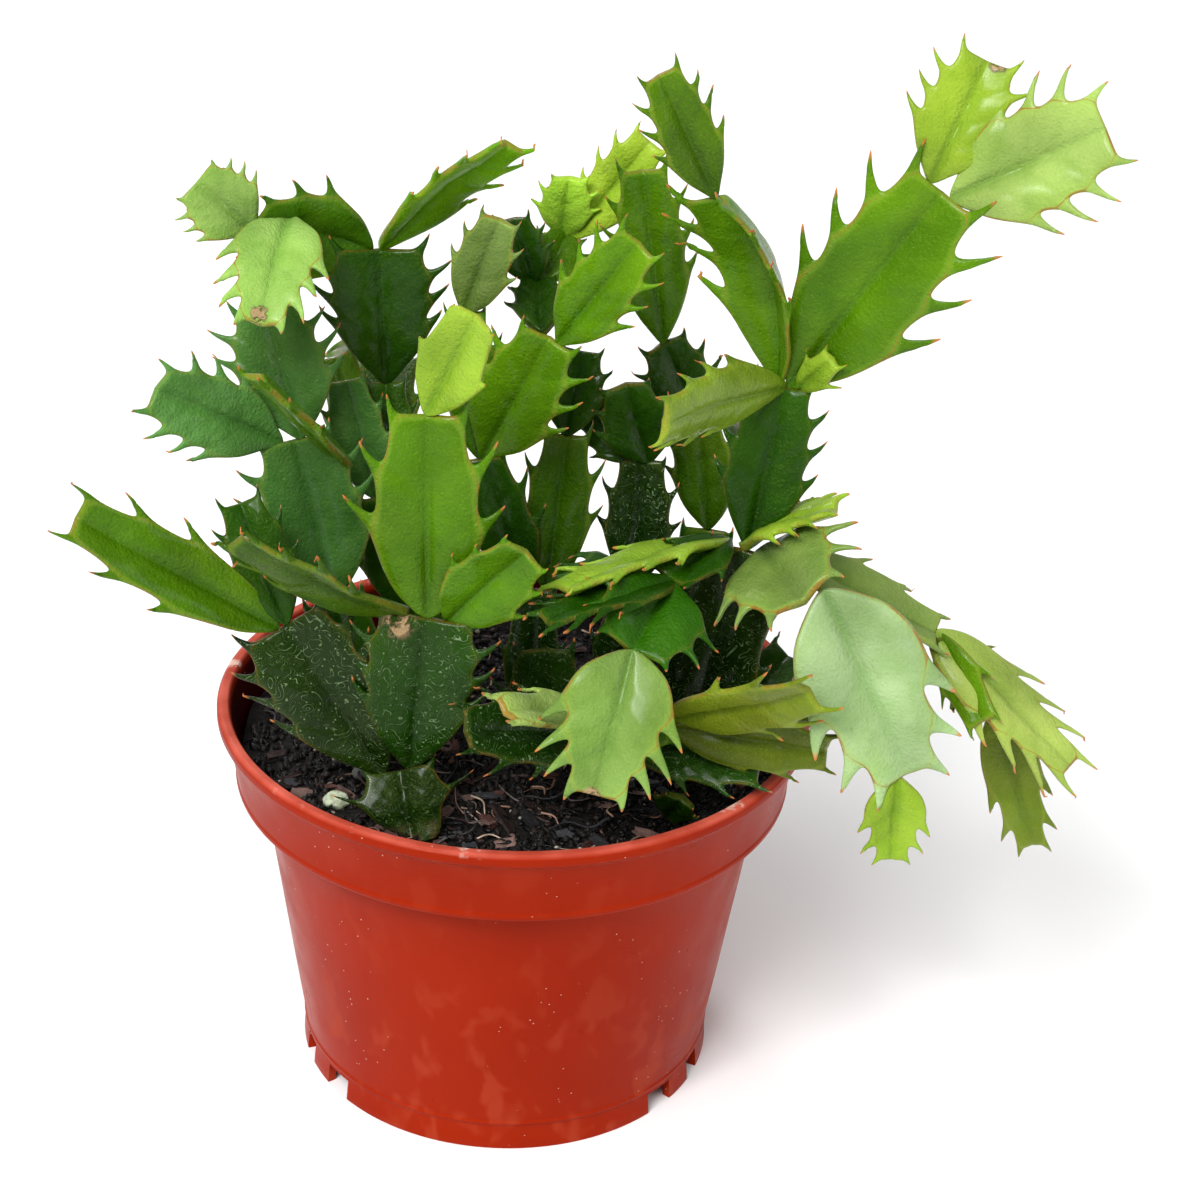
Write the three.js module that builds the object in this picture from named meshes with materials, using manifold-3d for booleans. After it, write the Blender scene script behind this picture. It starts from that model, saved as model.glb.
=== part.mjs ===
// Potted Christmas cactus: flat leafy segments with hooked teeth, chained into stems,
// rooted in potting soil in a round nursery pot.
// Millimetres, +Z up. The origin is on the pot's axis, level with the surface it stands on.
// The side that the plant shows best faces -Y.
import * as THREE from "three";
import { mergeVertices } from "three/addons/utils/BufferGeometryUtils.js";
import Module from "manifold-3d";

const wasm = await Module();
wasm.setup();

// ---- driving dimensions ----
const rimDiameter = 120;
const potHeight = 81.5;
const footDiameter = 86.6;
const bandHeight = 17;
const wall = 1.5;
const soilLevel = 72;
const gap = 0.3;
const edgeThickness = 0.9;
const ribThickness = 2.8;
const tipThickness = 0.7;
const rootDiameter = 4.4;
const rootDepth = 12;
const potSides = 36;

// ---- small helpers ----
const degrees = THREE.MathUtils.degToRad;
const mix = THREE.MathUtils.lerp;

function solidFrom(geometry) {
  const bare = geometry.index ? geometry : geometry.clone();
  bare.deleteAttribute("normal");
  bare.deleteAttribute("uv");
  const merged = mergeVertices(bare, 1e-4);
  return new wasm.Manifold(
    new wasm.Mesh({
      numProp: 3,
      vertProperties: new Float32Array(merged.attributes.position.array),
      triVerts: new Uint32Array(merged.index.array),
    }),
  );
}

function geometryFrom(solid) {
  const { vertProperties, triVerts } = solid.getMesh();
  return new THREE.BufferGeometry()
    .setAttribute("position", new THREE.BufferAttribute(vertProperties, 3))
    .setIndex(new THREE.BufferAttribute(triVerts, 1));
}

function joined(solids) {
  return solids.reduce((all, one) => all.add(one));
}

// An even, repeatable wobble between -1 and 1 for a whole number.
function wobble(n) {
  const wave = Math.sin(n * 12.9898) * 43758.5453;
  return 2 * (wave - Math.floor(wave)) - 1;
}

// ---- nursery pot ----
// Outside and inside profile, [radius, height], from the middle of the floor's underside round to its top.
const rimRadius = rimDiameter / 2;
const footRadius = footDiameter / 2;
const bandBottom = potHeight - bandHeight;
const floorUnderside = 4.2;
const floorTop = floorUnderside + 1.7;
const lipHeight = 2.2;
const lipWidth = 2.7;
const padRadius = 9;
const bandRadius = 56.3;
const wallTopRadius = 51.4;
const innerRim = rimRadius - lipWidth;
const innerBand = bandRadius - wall;
const innerWallTop = wallTopRadius - wall;
const innerFloor = footRadius - 2 * wall + 1.2;

const potProfile = [
  [0, 0],
  [padRadius, 0],
  [padRadius - 1, floorUnderside],
  [footRadius - 2, floorUnderside],
  [footRadius - 1.9, 0],
  [footRadius, 0],
  [footRadius - 0.5, 5],
  [wallTopRadius, bandBottom],
  [bandRadius - 0.6, bandBottom],
  [bandRadius, bandBottom + 0.8],
  [rimRadius - 1.4, potHeight - lipHeight - 0.9],
  [rimRadius, potHeight - lipHeight],
  [rimRadius, potHeight - 0.7],
  [rimRadius - 0.8, potHeight],
  [innerRim + 0.5, potHeight],
  [innerRim, potHeight - 0.8],
  [innerBand, bandBottom + wall],
  [innerWallTop, bandBottom + wall],
  [innerFloor, floorTop],
  [0, floorTop],
];

// Drainage notches in the standing ring, as degrees round from the front and how far each one spans.
const notches = [
  [51, 15],
  [69, 11],
  [111, 11],
  [129, 15],
  [-51, 15],
  [-69, 11],
  [-111, 11],
  [-129, 15],
];
const notchTop = 4.6;
const drainHoles = 6;
const drainHoleDiameter = 5;

function makePot() {
  const profile = potProfile.map(([radius, height]) => new THREE.Vector2(radius, height));
  const body = new THREE.LatheGeometry(profile, potSides).rotateX(Math.PI / 2);
  let pot = solidFrom(body);
  for (const [around, span] of notches) {
    const width = 2 * footRadius * Math.sin(degrees(span / 2));
    const cutter = new THREE.BoxGeometry(width, 10, notchTop + 2)
      .translate(0, -footRadius + 1, (notchTop - 2) / 2)
      .rotateZ(degrees(around));
    pot = pot.subtract(solidFrom(cutter));
  }
  for (let i = 0; i < drainHoles; i++) {
    const hole = new THREE.CylinderGeometry(drainHoleDiameter / 2, drainHoleDiameter / 2, 10, 10)
      .rotateX(Math.PI / 2)
      .translate(0, -0.72 * footRadius, floorTop)
      .rotateZ(degrees((360 / drainHoles) * i));
    pot = pot.subtract(solidFrom(hole));
  }
  return geometryFrom(pot);
}

// ---- soil ----
function soilHeight(x, y) {
  const mound = 1.2 * (1 - (x * x + y * y) / (innerBand * innerBand));
  const lumps = 0.45 * Math.sin(0.31 * x + 1.3) * Math.cos(0.27 * y) + 0.3 * Math.sin(0.5 * x - 0.43 * y);
  return soilLevel + mound + lumps;
}

// Rings of the soil's surface, then of its side, as [radius, height]; no height means the lumpy top.
const soilRings = [
  [12],
  [24],
  [36],
  [46],
  [innerBand + 0.6],
  [innerBand - gap, bandBottom + wall + gap],
  [innerWallTop - gap, bandBottom + wall + gap],
  [innerFloor - gap, floorTop + gap],
];
const soilSides = 26;

function makeSoilBody() {
  const points = [0, 0, soilHeight(0, 0)];
  for (const [radius, height] of soilRings) {
    for (let i = 0; i < soilSides; i++) {
      const angle = (2 * Math.PI * i) / soilSides;
      const x = radius * Math.cos(angle);
      const y = radius * Math.sin(angle);
      points.push(x, y, height ?? soilHeight(x, y));
    }
  }
  points.push(0, 0, floorTop + gap);
  const last = points.length / 3 - 1;
  const faces = [];
  for (let i = 0; i < soilSides; i++) {
    const next = (i + 1) % soilSides;
    faces.push(0, 1 + i, 1 + next);
    for (let ring = 0; ring + 1 < soilRings.length; ring++) {
      const a = 1 + ring * soilSides;
      const b = a + soilSides;
      faces.push(a + i, b + i, b + next, a + i, b + next, a + next);
    }
    const rim = 1 + (soilRings.length - 1) * soilSides;
    faces.push(last, rim + next, rim + i);
  }
  const body = new THREE.BufferGeometry()
    .setAttribute("position", new THREE.Float32BufferAttribute(points, 3))
    .setIndex(faces);
  return solidFrom(body);
}

// ---- one leafy segment ----
// Half outline by number of teeth, the horn beside the tip among them; the fan is widest near its top, and
// the saw ones droop, with a round start and broad teeth that point forward. Each edge point is
// [share of the length, share of half the width]. Each tooth is [edge point below it, share, share].
const outlines = {
  2: {
    edge: [[0, 0], [0.25, 0.6], [0.5, 0.84], [0.64, 0.68], [0.88, 0.56], [0.985, 0.36]],
    teeth: [[2, 0.7, 1.08], [4, 1.08, 0.6]],
  },
  3: {
    edge: [
      [0, 0], [0.18, 0.58], [0.44, 0.82], [0.53, 0.7],
      [0.69, 0.73], [0.79, 0.58], [0.91, 0.5], [0.985, 0.36],
    ],
    teeth: [[2, 0.58, 1.1], [4, 0.865, 0.95], [6, 1.09, 0.58]],
  },
  4: {
    edge: [
      [0, 0], [0.18, 0.54], [0.38, 0.8], [0.46, 0.68], [0.57, 0.76],
      [0.66, 0.64], [0.75, 0.68], [0.83, 0.54], [0.92, 0.5], [0.985, 0.34],
    ],
    teeth: [[2, 0.53, 1.08], [4, 0.735, 1.1], [6, 0.9, 0.98], [8, 1.09, 0.6]],
  },
  fan4: {
    edge: [
      [0, 0], [0.22, 0.4], [0.42, 0.64], [0.48, 0.54], [0.6, 0.74],
      [0.66, 0.63], [0.77, 0.75], [0.84, 0.62], [0.925, 0.6], [0.985, 0.42],
    ],
    teeth: [[2, 0.57, 0.88], [4, 0.755, 1], [6, 0.9, 1.02], [8, 1.07, 0.7]],
  },
  saw3: {
    edge: [
      [0, 0], [0.14, 0.66], [0.46, 0.82], [0.55, 0.54],
      [0.71, 0.6], [0.79, 0.4], [0.9, 0.42], [0.985, 0.22],
    ],
    teeth: [[2, 0.67, 0.96], [4, 0.87, 0.82], [6, 1.04, 0.5]],
  },
  saw4: {
    edge: [
      [0, 0], [0.13, 0.64], [0.38, 0.8], [0.455, 0.6], [0.56, 0.7],
      [0.62, 0.5], [0.71, 0.58], [0.77, 0.38], [0.88, 0.42], [0.985, 0.22],
    ],
    teeth: [[2, 0.56, 1], [4, 0.765, 0.94], [6, 0.92, 0.76], [8, 1.05, 0.42]],
  },
};
const neckHalfWidth = 1.9;
const sunk = 1.6;
const ribTopThickness = 1.7;
const ribTop = 0.965;

function segmentGeometry(segment, foot, seed) {
  const { on, long, wide, curl, fold, teeth, claw } = segment;
  const { edge, teeth: toothList } = outlines[teeth];
  const half = wide / 2;
  const sag = (long * Math.tan(degrees(curl) / 4)) / 2;
  const rise = Math.tan(degrees(fold));
  const start = on ? -sunk : 0;
  const top = [];
  const bottom = [];

  // Adds a point of both faces, where "out" and "up" lie in the segment's own flat outline.
  function addPoint(out, up, thickness) {
    const along = THREE.MathUtils.clamp(up / long, 0, 1);
    const bent = 4 * sag * along * (1 - along) + rise * Math.abs(out);
    top.push([out, up, bent + thickness / 2]);
    bottom.push([out, up, bent - thickness / 2]);
    return top.length - 1;
  }

  // The rib has a point at the start and then beside every second point of the edge.
  const rib = [];
  edge.forEach(([along], k) => {
    if (k > 0 && k % 2 === 0) return;
    const up = k === 0 ? start : long * (k === edge.length - 1 ? ribTop : along);
    rib.push(addPoint(0, up, mix(ribThickness, ribTopThickness, along)));
  });
  const ribBeside = (k) => rib[Math.ceil(k / 2)];
  const sides = [1, -1].map((side, s) => {
    // Teeth and notches sit a little higher or lower on each side, and reach unevenly.
    const shift = 0.02 * wobble(seed * 7 + s);
    const points = edge.map(([along, out], k) => {
      const width = k === 0 ? Math.max(neckHalfWidth, on ? 0 : foot * half) : out * half;
      const up = k === 0 ? start : long * (along + (along < 0.95 ? shift : 0));
      return addPoint(side * width, up, k === 0 ? ribThickness * 0.8 : edgeThickness);
    });
    const tips = new Map();
    toothList.forEach(([below, along, out], j) => {
      const [lowAlong, lowOut] = edge[below];
      const [highAlong, highOut] = edge[below + 1];
      const reach = claw * (1 + 0.15 * wobble(seed * 13 + 5 * s + j));
      const up = mix((lowAlong + highAlong) / 2, along, reach) + shift;
      const width = mix((lowOut + highOut) / 2, out, reach);
      tips.set(below, addPoint(side * width * half, up * long, tipThickness));
    });
    return { points, tips };
  });

  const faces = [];
  sides.forEach(({ points, tips }, s) => {
    const add = (a, b, c) => faces.push(s === 0 ? [a, b, c] : [a, c, b]);
    for (let k = 0; k + 1 < points.length; k++) {
      add(ribBeside(k), points[k], points[k + 1]);
      if (ribBeside(k) !== ribBeside(k + 1)) add(ribBeside(k), points[k + 1], ribBeside(k + 1));
      if (tips.has(k)) add(points[k], tips.get(k), points[k + 1]);
    }
  });
  const walk = ({ points, tips }) =>
    points.flatMap((point, k) => (tips.has(k) ? [point, tips.get(k)] : [point]));
  const loop = [...walk(sides[0]), rib.at(-1), ...walk(sides[1]).reverse(), rib[0]];

  const count = top.length;
  const index = [];
  for (const [a, b, c] of faces) {
    index.push(a, b, c, count + a, count + c, count + b);
  }
  loop.forEach((a, k) => {
    const b = loop[(k + 1) % loop.length];
    index.push(count + a, count + b, b, count + a, b, a);
  });
  return new THREE.BufferGeometry()
    .setAttribute("position", new THREE.Float32BufferAttribute([...top, ...bottom].flat(), 3))
    .setIndex(index);
}

// ---- a stem ----
// A new segment buds at this share of the length of the one it grows on, unless its row says otherwise.
const budAt = 0.97;
// The way a segment's flat face turns when its spin is 0: to the front, and up to the light.
const facing = new THREE.Vector3(0, -0.88, 0.47).normalize();

function segmentAxes({ lean, toward, spin }) {
  const [l, t] = [degrees(lean), degrees(toward)];
  const along = new THREE.Vector3(Math.cos(t) * Math.sin(l), -Math.sin(t), Math.cos(t) * Math.cos(l));
  const face = facing.clone().addScaledVector(along, -facing.dot(along)).normalize();
  const across = along.clone().cross(face);
  const turn = new THREE.Quaternion().setFromAxisAngle(along, degrees(-spin));
  return { across: across.applyQuaternion(turn), along, face: face.applyQuaternion(turn) };
}

function readRow(row) {
  const [name, on, side, long, wide, lean, toward, spin, curl, fold, teeth, claw, at = budAt] = row;
  return { name, on, side, long, wide, lean, toward, spin, curl, fold, teeth, claw, at };
}

// The rooted segment starts a little above the soil, on its woody root end.
function rootPoint([x, y]) {
  return new THREE.Vector3(x, y, soilHeight(x, y) + 2);
}

function makeStem({ root, rows, foot, seed }) {
  const grown = new Map();
  const solids = rows.map((row, i) => {
    const segment = readRow(row);
    const axes = segmentAxes(segment);
    const parent = grown.get(segment.on);
    const base = parent
      ? parent.base
          .clone()
          .addScaledVector(parent.axes.along, segment.at * parent.long)
          .addScaledVector(parent.axes.across, segment.side)
      : rootPoint(root);
    grown.set(segment.name, { base, axes, long: segment.long });
    const place = new THREE.Matrix4().makeBasis(axes.across, axes.along, axes.face).setPosition(base);
    return solidFrom(segmentGeometry(segment, foot, seed + i).applyMatrix4(place));
  });
  return geometryFrom(joined([...solids, makeRoot(root, 0)]));
}

// The woody root end, and the plain hole that it stands in.
function makeRoot([x, y], clearance) {
  const radius = rootDiameter / 2 + clearance;
  const top = soilHeight(x, y) + 3;
  const bottom = soilLevel - rootDepth - clearance;
  const root = new THREE.CylinderGeometry(radius, radius, top - bottom, 8)
    .rotateX(Math.PI / 2)
    .translate(x, y, (top + bottom) / 2);
  return solidFrom(root);
}

// ---- the stems ----
// A row is one segment: its name, the segment that it grows on (none for the rooted one), how far to the
// side of that one's rib it grows, length, width, lean (degrees from upright to the right), toward
// (degrees out to the front), spin (degrees round its own length), curl (degrees that it bends along its
// length), fold (degrees that both halves rise), teeth on each side, claw (how far the teeth reach, 1 is
// usual) and, where it isn't at the tip, the share of the other one's length at which it grows.
const frontLeftRows = [
  ["frontFoot", null, 0, 11, 22, -15, -33, 0, 0, 5, 2, 1.5],
  ["frontMain", "frontFoot", 2, 33, 29, 5, -5, 0, 8, 6, "fan4", 1],
  ["frontLeft", "frontFoot", -3, 36, 28, -34, -9, 12, 8, 6, "fan4", 1],
  ["tongueLeft", "frontLeft", -2, 48, 17, -50, 18, -18, -10, 12, 3, 1],
  ["darkLeft", "frontLeft", 0, 25, 15, -24, -19, -10, 6, 6, 3, 0.9],
  ["brownBlade", "frontMain", -4, 38, 19, -55, 17, 64, 16, 10, 4, 0.9],
  ["centreBright", "frontMain", 0, 41, 26, -1, -6, 0, 6, 8, 3, 1.15],
  ["sideBright", "frontMain", 4, 25, 19, 38, 16, -18, -10, 12, 3, 0.5],
  ["youngOval", "centreBright", 0, 24, 17, 23, 10, 8, -24, 14, 2, 0.25],
];

const leftRows = [
  ["leftFoot", null, 0, 35, 20, -14, 0, 0, 0, 5, 2, 1],
  ["leftBlue", "leftFoot", 0, 34, 26, -14, -9, 0, 6, 6, 4, 0.9],
  ["leftUpper", "leftBlue", 1, 26, 23, -18, -20, 0, 8, 8, 4, 1],
  ["leftSide", "leftBlue", -3, 30, 19, -54, 26, 8, -10, 10, 4, 1],
  ["edgeBlade", "leftBlue", 9, 35, 13, -31, 30, 78, -10, 8, 3, 0.8, 0.74],
];

const backLeftRows = [
  ["backFoot", null, 0, 27, 18, -18, 7, 0, 0, 5, 2, 0.8],
  ["backRise", "backFoot", 0, 28, 19, -12, 4, 0, 6, 6, 3, 1],
  ["backTrunk", "backRise", 1, 22, 14, -4, -24, 0, 0, 6, 3, 0.8],
  ["backWide", "backTrunk", 0, 28, 27, -3, -3, 0, 10, 8, "fan4", 1],
  ["backLean", "backRise", 0, 37, 19, -4, -58, 20, 12, 8, 3, 1],
  ["backLow", "backLean", 0, 33, 18, -150, -52, -100, 24, 8, 3, 1],
  ["backUnder", "backWide", -2, 24, 23, -70, 22, 34, -36, 12, 3, 1],
  ["backClaw", "backWide", 0, 40, 15, 43, 22, -64, -20, 12, 4, 0.85],
  ["topLeftYoung", "backUnder", -2, 14, 18, -51, -6, 0, -10, 10, 4, 0.7],
  ["topLeftDroop", "backUnder", 2, 26, 21, -168, 57, 0, 24, 10, "saw4", 0.9, 0.72],
  ["behindBlade", "backRise", -2, 24, 15, -15, -13, 10, 0, 8, 3, 0.8],
  ["arcBlade", "backRise", -1, 30, 13, -24, -36, 20, 10, 8, 2, 0.8],
];

const centreRows = [
  ["centreFoot", null, 0, 31, 14, 1, -10, 0, 0, 5, 2, 0.7],
  ["centreRight", "centreFoot", 2, 33, 17, 5, -10, -10, 6, 8, 3, 1],
  ["centreLeft", "centreFoot", -2, 31, 17, -17, 2, 20, 6, 6, 3, 1],
  ["centreGreen", "centreLeft", 0, 31, 22, 24, 8, 0, 6, 8, 4, 0.9],
  ["centreBack", "centreLeft", -1, 32, 14, -6, 3, 0, 4, 8, 3, 0.9],
  ["centreLean", "centreLeft", 1, 30, 16, 17, -77, -20, 10, 8, 3, 1],
  ["centreTop", "centreBack", 0, 22, 14, 18, 10, 0, 8, 8, 3, 0.8],
  ["brownBack", "centreRight", 0, 17, 16, 9, -22, 10, 0, 6, 3, 0.9],
  ["darkBehind", "centreGreen", -2, 13, 13, -13, -63, 0, 0, 6, 3, 1],
  ["brightTop", "centreGreen", 2, 28, 17, 32, 12, 0, 8, 10, 4, 1],
  ["darkTop", "darkBehind", -1, 14, 13, -17, 3, 20, 0, 8, 3, 1],
  ["midTop", "darkBehind", 1, 11, 13, 32, -44, 0, 0, 8, 3, 1],
  ["youngLeft", "midTop", -1, 13, 13, 5, 11, 0, 0, 8, 3, 0.8],
  ["youngRight", "midTop", 1, 25, 14, 36, -5, -10, 10, 8, 4, 0.8],
];

const middleRows = [
  ["middleFoot", null, 0, 30, 15, 6, -4, 0, 0, 5, 2, 0.7],
  ["middleTrunk", "middleFoot", 0, 28, 17, 1, -2, 0, 4, 6, 3, 0.8],
  ["middleDark", "middleTrunk", 1, 20, 18, -16, 14, 8, 6, 6, 3, 0.7],
  ["middleBack", "middleTrunk", -1, 13, 13, -58, -29, 0, 0, 6, 3, 0.8],
  ["blueDroop", "middleFoot", -1, 24, 14, -60, 53, -40, 46, 8, "saw3", 1.1],
];

const backRightRows = [
  ["behindFoot", null, 0, 41, 18, 5, -1, 0, 0, 5, 2, 0.7],
  ["behindGreen", "behindFoot", 0, 25, 16, -7, -1, 10, 0, 6, 3, 0.8],
  ["behindDark", "behindGreen", -1, 20, 17, -23, 13, 0, 4, 6, 3, 1],
  ["tallDark", "behindDark", 0, 37, 17, -9, 4, 0, 6, 8, 4, 0.9],
  ["behindLean", "behindGreen", 2, 26, 17, 132, -63, 40, 14, 8, 3, 1],
  ["behindLow", "behindLean", 0, 30, 18, 166, -39, 150, 20, 8, 3, 1],
];

const rightRows = [
  ["rightTrunk", null, 0, 51, 25, 11, -3, 0, 0, 6, 3, 0.5],
  ["rightMain", "rightTrunk", 1, 33, 20, 9, -14, 0, 6, 8, 4, 0.9],
  ["rightBig", "rightMain", 1, 50, 29, 31, 5, 0, 6, 8, 4, 1.15],
  ["farTopYoung", "rightBig", -3, 24, 20, 22, -13, 0, 14, 8, 4, 1],
  ["farTopWide", "rightBig", 2, 31, 25, 58, 10, 0, -10, 8, 4, 1.1],
  ["rightCurved", "rightMain", -1, 42, 21, -20, 6, 58, -72, 36, 4, 1.1],
  ["topTongue", "rightCurved", -1, 27, 14, -26, 8, 0, 6, 10, 4, 1],
  ["rightTongue", "rightMain", 0, 43, 17, -75, 55, 42, -12, -20, 4, 0.7],
  ["rightBud", "rightMain", 3, 12, 8, 33, 26, 0, 0, 8, 2, 1.6],
  ["spanLeft", "rightTrunk", -3, 40, 18, -90, 39, -72, 10, 8, 4, 1],
  ["spanRight", "rightTrunk", 0, 21, 16, 58, 13, 70, 14, 8, 4, 1],
  ["underBlade", "rightTrunk", -3, 21, 14, -93, 55, -30, 10, 8, 2, 0.8],
  ["lowLeft", "underBlade", -1, 28, 17, -96, 32, -62, 8, 8, "saw4", 1.2],
  ["hangDark", "underBlade", 0, 18, 26, -140, 56, 0, 14, 8, 3, 1],
  ["hangBright", "hangDark", 0, 28, 26, -167, 27, 0, 16, 8, "saw4", 1.1],
  ["droopRight", "rightTrunk", 4, 22, 29, 93, 70, 0, 16, 8, 3, 1.15],
  ["droopBright", "droopRight", -4, 40, 30, 152, 15, 0, 16, 10, "saw3", 1],
  ["droopTip", "droopBright", 2, 16, 14, 180, 14, 0, 10, 8, "saw3", 1.1],
  ["farLink", "rightTrunk", 4, 39, 17, 115, 3, 46, 14, 8, 3, 0.7],
  ["farDroop", "farLink", -1, 38, 17, 128, 21, 22, 12, -12, "saw4", 1.4],
  ["farShadow", "farLink", 1, 23, 16, 139, -12, 20, 0, 8, 3, 0.8],
  ["farUnder", "farShadow", 0, 35, 14, 161, 0, -10, 14, 8, "saw3", 1],
  ["farSmall", "farLink", -2, 21, 11, 144, 37, -20, 0, 8, 2, 0.9],
  ["rightLow", "rightTrunk", 4, 23, 16, 58, -37, 30, 0, 8, 3, 1, 0.2],
];

const frontRightRows = [
  ["lowFoot", null, 0, 16, 15, -7, 30, 0, 0, 5, 2, 0.7],
  ["lowLeftDark", "lowFoot", -2, 33, 18, -66, 34, -24, 10, 8, 3, 1],
  ["lowLeftPale", "lowFoot", -1, 37, 13, -44, 44, -62, 30, 8, 2, 1.1],
  ["lowRightDark", "lowFoot", 2, 30, 17, 95, 12, 24, 0, 8, 3, 0.9],
  ["lowLink", "lowFoot", 1, 15, 14, 58, 21, 0, 0, 6, 2, 0.8],
  ["lowRightOlive", "lowLink", -1, 35, 18, 57, 29, -46, 0, 10, 3, 1],
  ["lowRightPale", "lowLink", 1, 31, 16, 95, 3, -30, 0, 10, 3, 1],
];

const stumpRows = [
  ["stump", null, 0, 23, 20, -3, 3, 0, 0, 5, 2, 1],
];

const seedlingRows = [
  ["seedling", null, 0, 8, 11, 16, 31, 0, 0, 6, 2, 0.3],
];

// Root is where the stem stands in the soil, and foot the share of the rooted segment's half width that
// it keeps down to its start.
const stems = [
  { name: "stem_front_left", root: [-18, -40], rows: frontLeftRows, foot: 0.6, seed: 1, colour: 0x5c9426 },
  { name: "stem_left", root: [-27, -12], rows: leftRows, foot: 0.5, seed: 41, colour: 0x3f7446 },
  { name: "stem_back_left", root: [-13, 4], rows: backLeftRows, foot: 0.5, seed: 81, colour: 0x3c6f1c },
  { name: "stem_centre", root: [3, -3], rows: centreRows, foot: 0.7, seed: 121, colour: 0x44742a },
  { name: "stem_middle", root: [20, 6], rows: middleRows, foot: 0.6, seed: 161, colour: 0x2f5a2a },
  { name: "stem_back_right", root: [34, 14], rows: backRightRows, foot: 0.6, seed: 201, colour: 0x3b6d22 },
  { name: "stem_right", root: [34, -14], rows: rightRows, foot: 0.5, seed: 241, colour: 0x5a9440 },
  { name: "stem_front_right", root: [20, -19], rows: frontRightRows, foot: 0.5, seed: 281, colour: 0x46662a },
  { name: "stem_stump", root: [7, -8], rows: stumpRows, foot: 0.6, seed: 321, colour: 0x2c4f2c },
  { name: "stem_seedling", root: [32, -31], rows: seedlingRows, foot: 0.5, seed: 361, colour: 0x2f5f3a },
];

// ---- small stones lying in the soil ----
const stones = [
  { name: "stone_pale", at: [-33, -30.5], size: [5, 4.2, 3.6], colour: 0xc9cfbe },
  { name: "stone_grey", at: [-28.8, -19.5], size: [4.4, 3.6, 3.2], colour: 0x7d7f78 },
];

// A lumpy pebble, a quarter of its height above the soil's surface from its middle.
function makeStone({ at: [x, y], size }, clearance) {
  const stone = new THREE.IcosahedronGeometry(0.5, 1);
  stone.deleteAttribute("normal");
  stone.deleteAttribute("uv");
  const round = mergeVertices(stone, 1e-4);
  const points = round.attributes.position;
  for (let i = 0; i < points.count; i++) {
    const bump = 1 + 0.08 * wobble(i);
    points.setXYZ(i, points.getX(i) * bump, points.getY(i) * bump, points.getZ(i) * bump);
  }
  const [sx, sy, sz] = size.map((length) => length + 2 * clearance);
  return solidFrom(round.scale(sx, sy, sz).translate(x, y, soilHeight(x, y) + 0.25 * size[2]));
}

// ---- the whole object ----
function makeSoil() {
  let soil = makeSoilBody();
  for (const { root } of stems) {
    soil = soil.subtract(makeRoot(root, gap));
  }
  for (const stone of stones) {
    soil = soil.subtract(makeStone(stone, gap));
  }
  return geometryFrom(soil);
}

const group = new THREE.Group();

function addPiece(name, geometry, colour, roughness) {
  geometry.computeVertexNormals();
  const material = new THREE.MeshStandardMaterial({ color: colour, roughness, metalness: 0 });
  const mesh = new THREE.Mesh(geometry, material);
  mesh.name = name;
  group.add(mesh);
}

addPiece("pot", makePot(), 0xb03018, 0.4);
addPiece("soil", makeSoil(), 0x1c1613, 0.95);
for (const stone of stones) {
  addPiece(stone.name, geometryFrom(makeStone(stone, 0)), stone.colour, 0.7);
}
for (const stem of stems) {
  addPiece(stem.name, makeStem(stem), stem.colour, 0.45);
}

export default group;
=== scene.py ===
import math
import random
import bmesh
import bpy
import numpy as np
from mathutils import Matrix, Vector, noise


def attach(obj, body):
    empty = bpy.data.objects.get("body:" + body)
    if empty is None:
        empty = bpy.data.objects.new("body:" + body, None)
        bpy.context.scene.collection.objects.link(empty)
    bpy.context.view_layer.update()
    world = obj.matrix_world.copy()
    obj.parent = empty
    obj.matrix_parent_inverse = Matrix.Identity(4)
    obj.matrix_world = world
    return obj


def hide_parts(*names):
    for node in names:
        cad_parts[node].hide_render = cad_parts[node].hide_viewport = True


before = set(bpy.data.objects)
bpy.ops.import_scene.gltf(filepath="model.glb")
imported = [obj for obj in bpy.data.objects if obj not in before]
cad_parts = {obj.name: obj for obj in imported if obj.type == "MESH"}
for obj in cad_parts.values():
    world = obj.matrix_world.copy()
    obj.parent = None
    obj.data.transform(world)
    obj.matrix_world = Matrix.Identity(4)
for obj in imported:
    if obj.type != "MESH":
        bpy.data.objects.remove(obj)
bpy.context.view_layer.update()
print('frame loaded')

mm = 0.001  # the sizes of all pieces below are in millimetres, and become metres with this


# small helpers for picking, applying and joining
def deselectAll():
    if bpy.context.object and bpy.context.object.mode != 'OBJECT':
        bpy.ops.object.mode_set(mode='OBJECT')
    bpy.ops.object.select_all(action='DESELECT')


def pick(*pieces):
    deselectAll()
    for piece in pieces:
        piece.select_set(True)
    bpy.context.view_layer.objects.active = pieces[0]


def addPiece(operator, **settings):
    deselectAll()
    operator(**settings)
    return bpy.context.object


def smoothPiece(piece, angle=None):
    pick(piece)
    if angle is None:
        bpy.ops.object.shade_smooth()
    else:
        bpy.ops.object.shade_smooth_by_angle(angle=math.radians(angle))
    return piece


def applyModifier(piece, kind, **settings):
    pick(piece)
    modifier = piece.modifiers.new(kind.title(), kind)
    for name, value in settings.items():
        setattr(modifier, name, value)
    bpy.ops.object.modifier_apply(modifier=modifier.name)


def copyOf(piece):
    twin = piece.copy()
    twin.data = piece.data.copy()
    bpy.context.collection.objects.link(twin)
    return twin


def joinPieces(pieces, name):
    pick(*pieces)
    bpy.ops.object.join()
    whole = bpy.context.object
    whole.name = name
    whole.data.name = name
    return whole


def bakePlace(piece):
    pick(piece)
    bpy.ops.object.transform_apply(location=True, rotation=True, scale=True)


def finishPiece(piece, material, slot, *nodes):
    piece.data.materials.clear()
    piece.data.materials.append(material)
    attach(piece, 'root')
    if nodes:
        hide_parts(*nodes)


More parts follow.
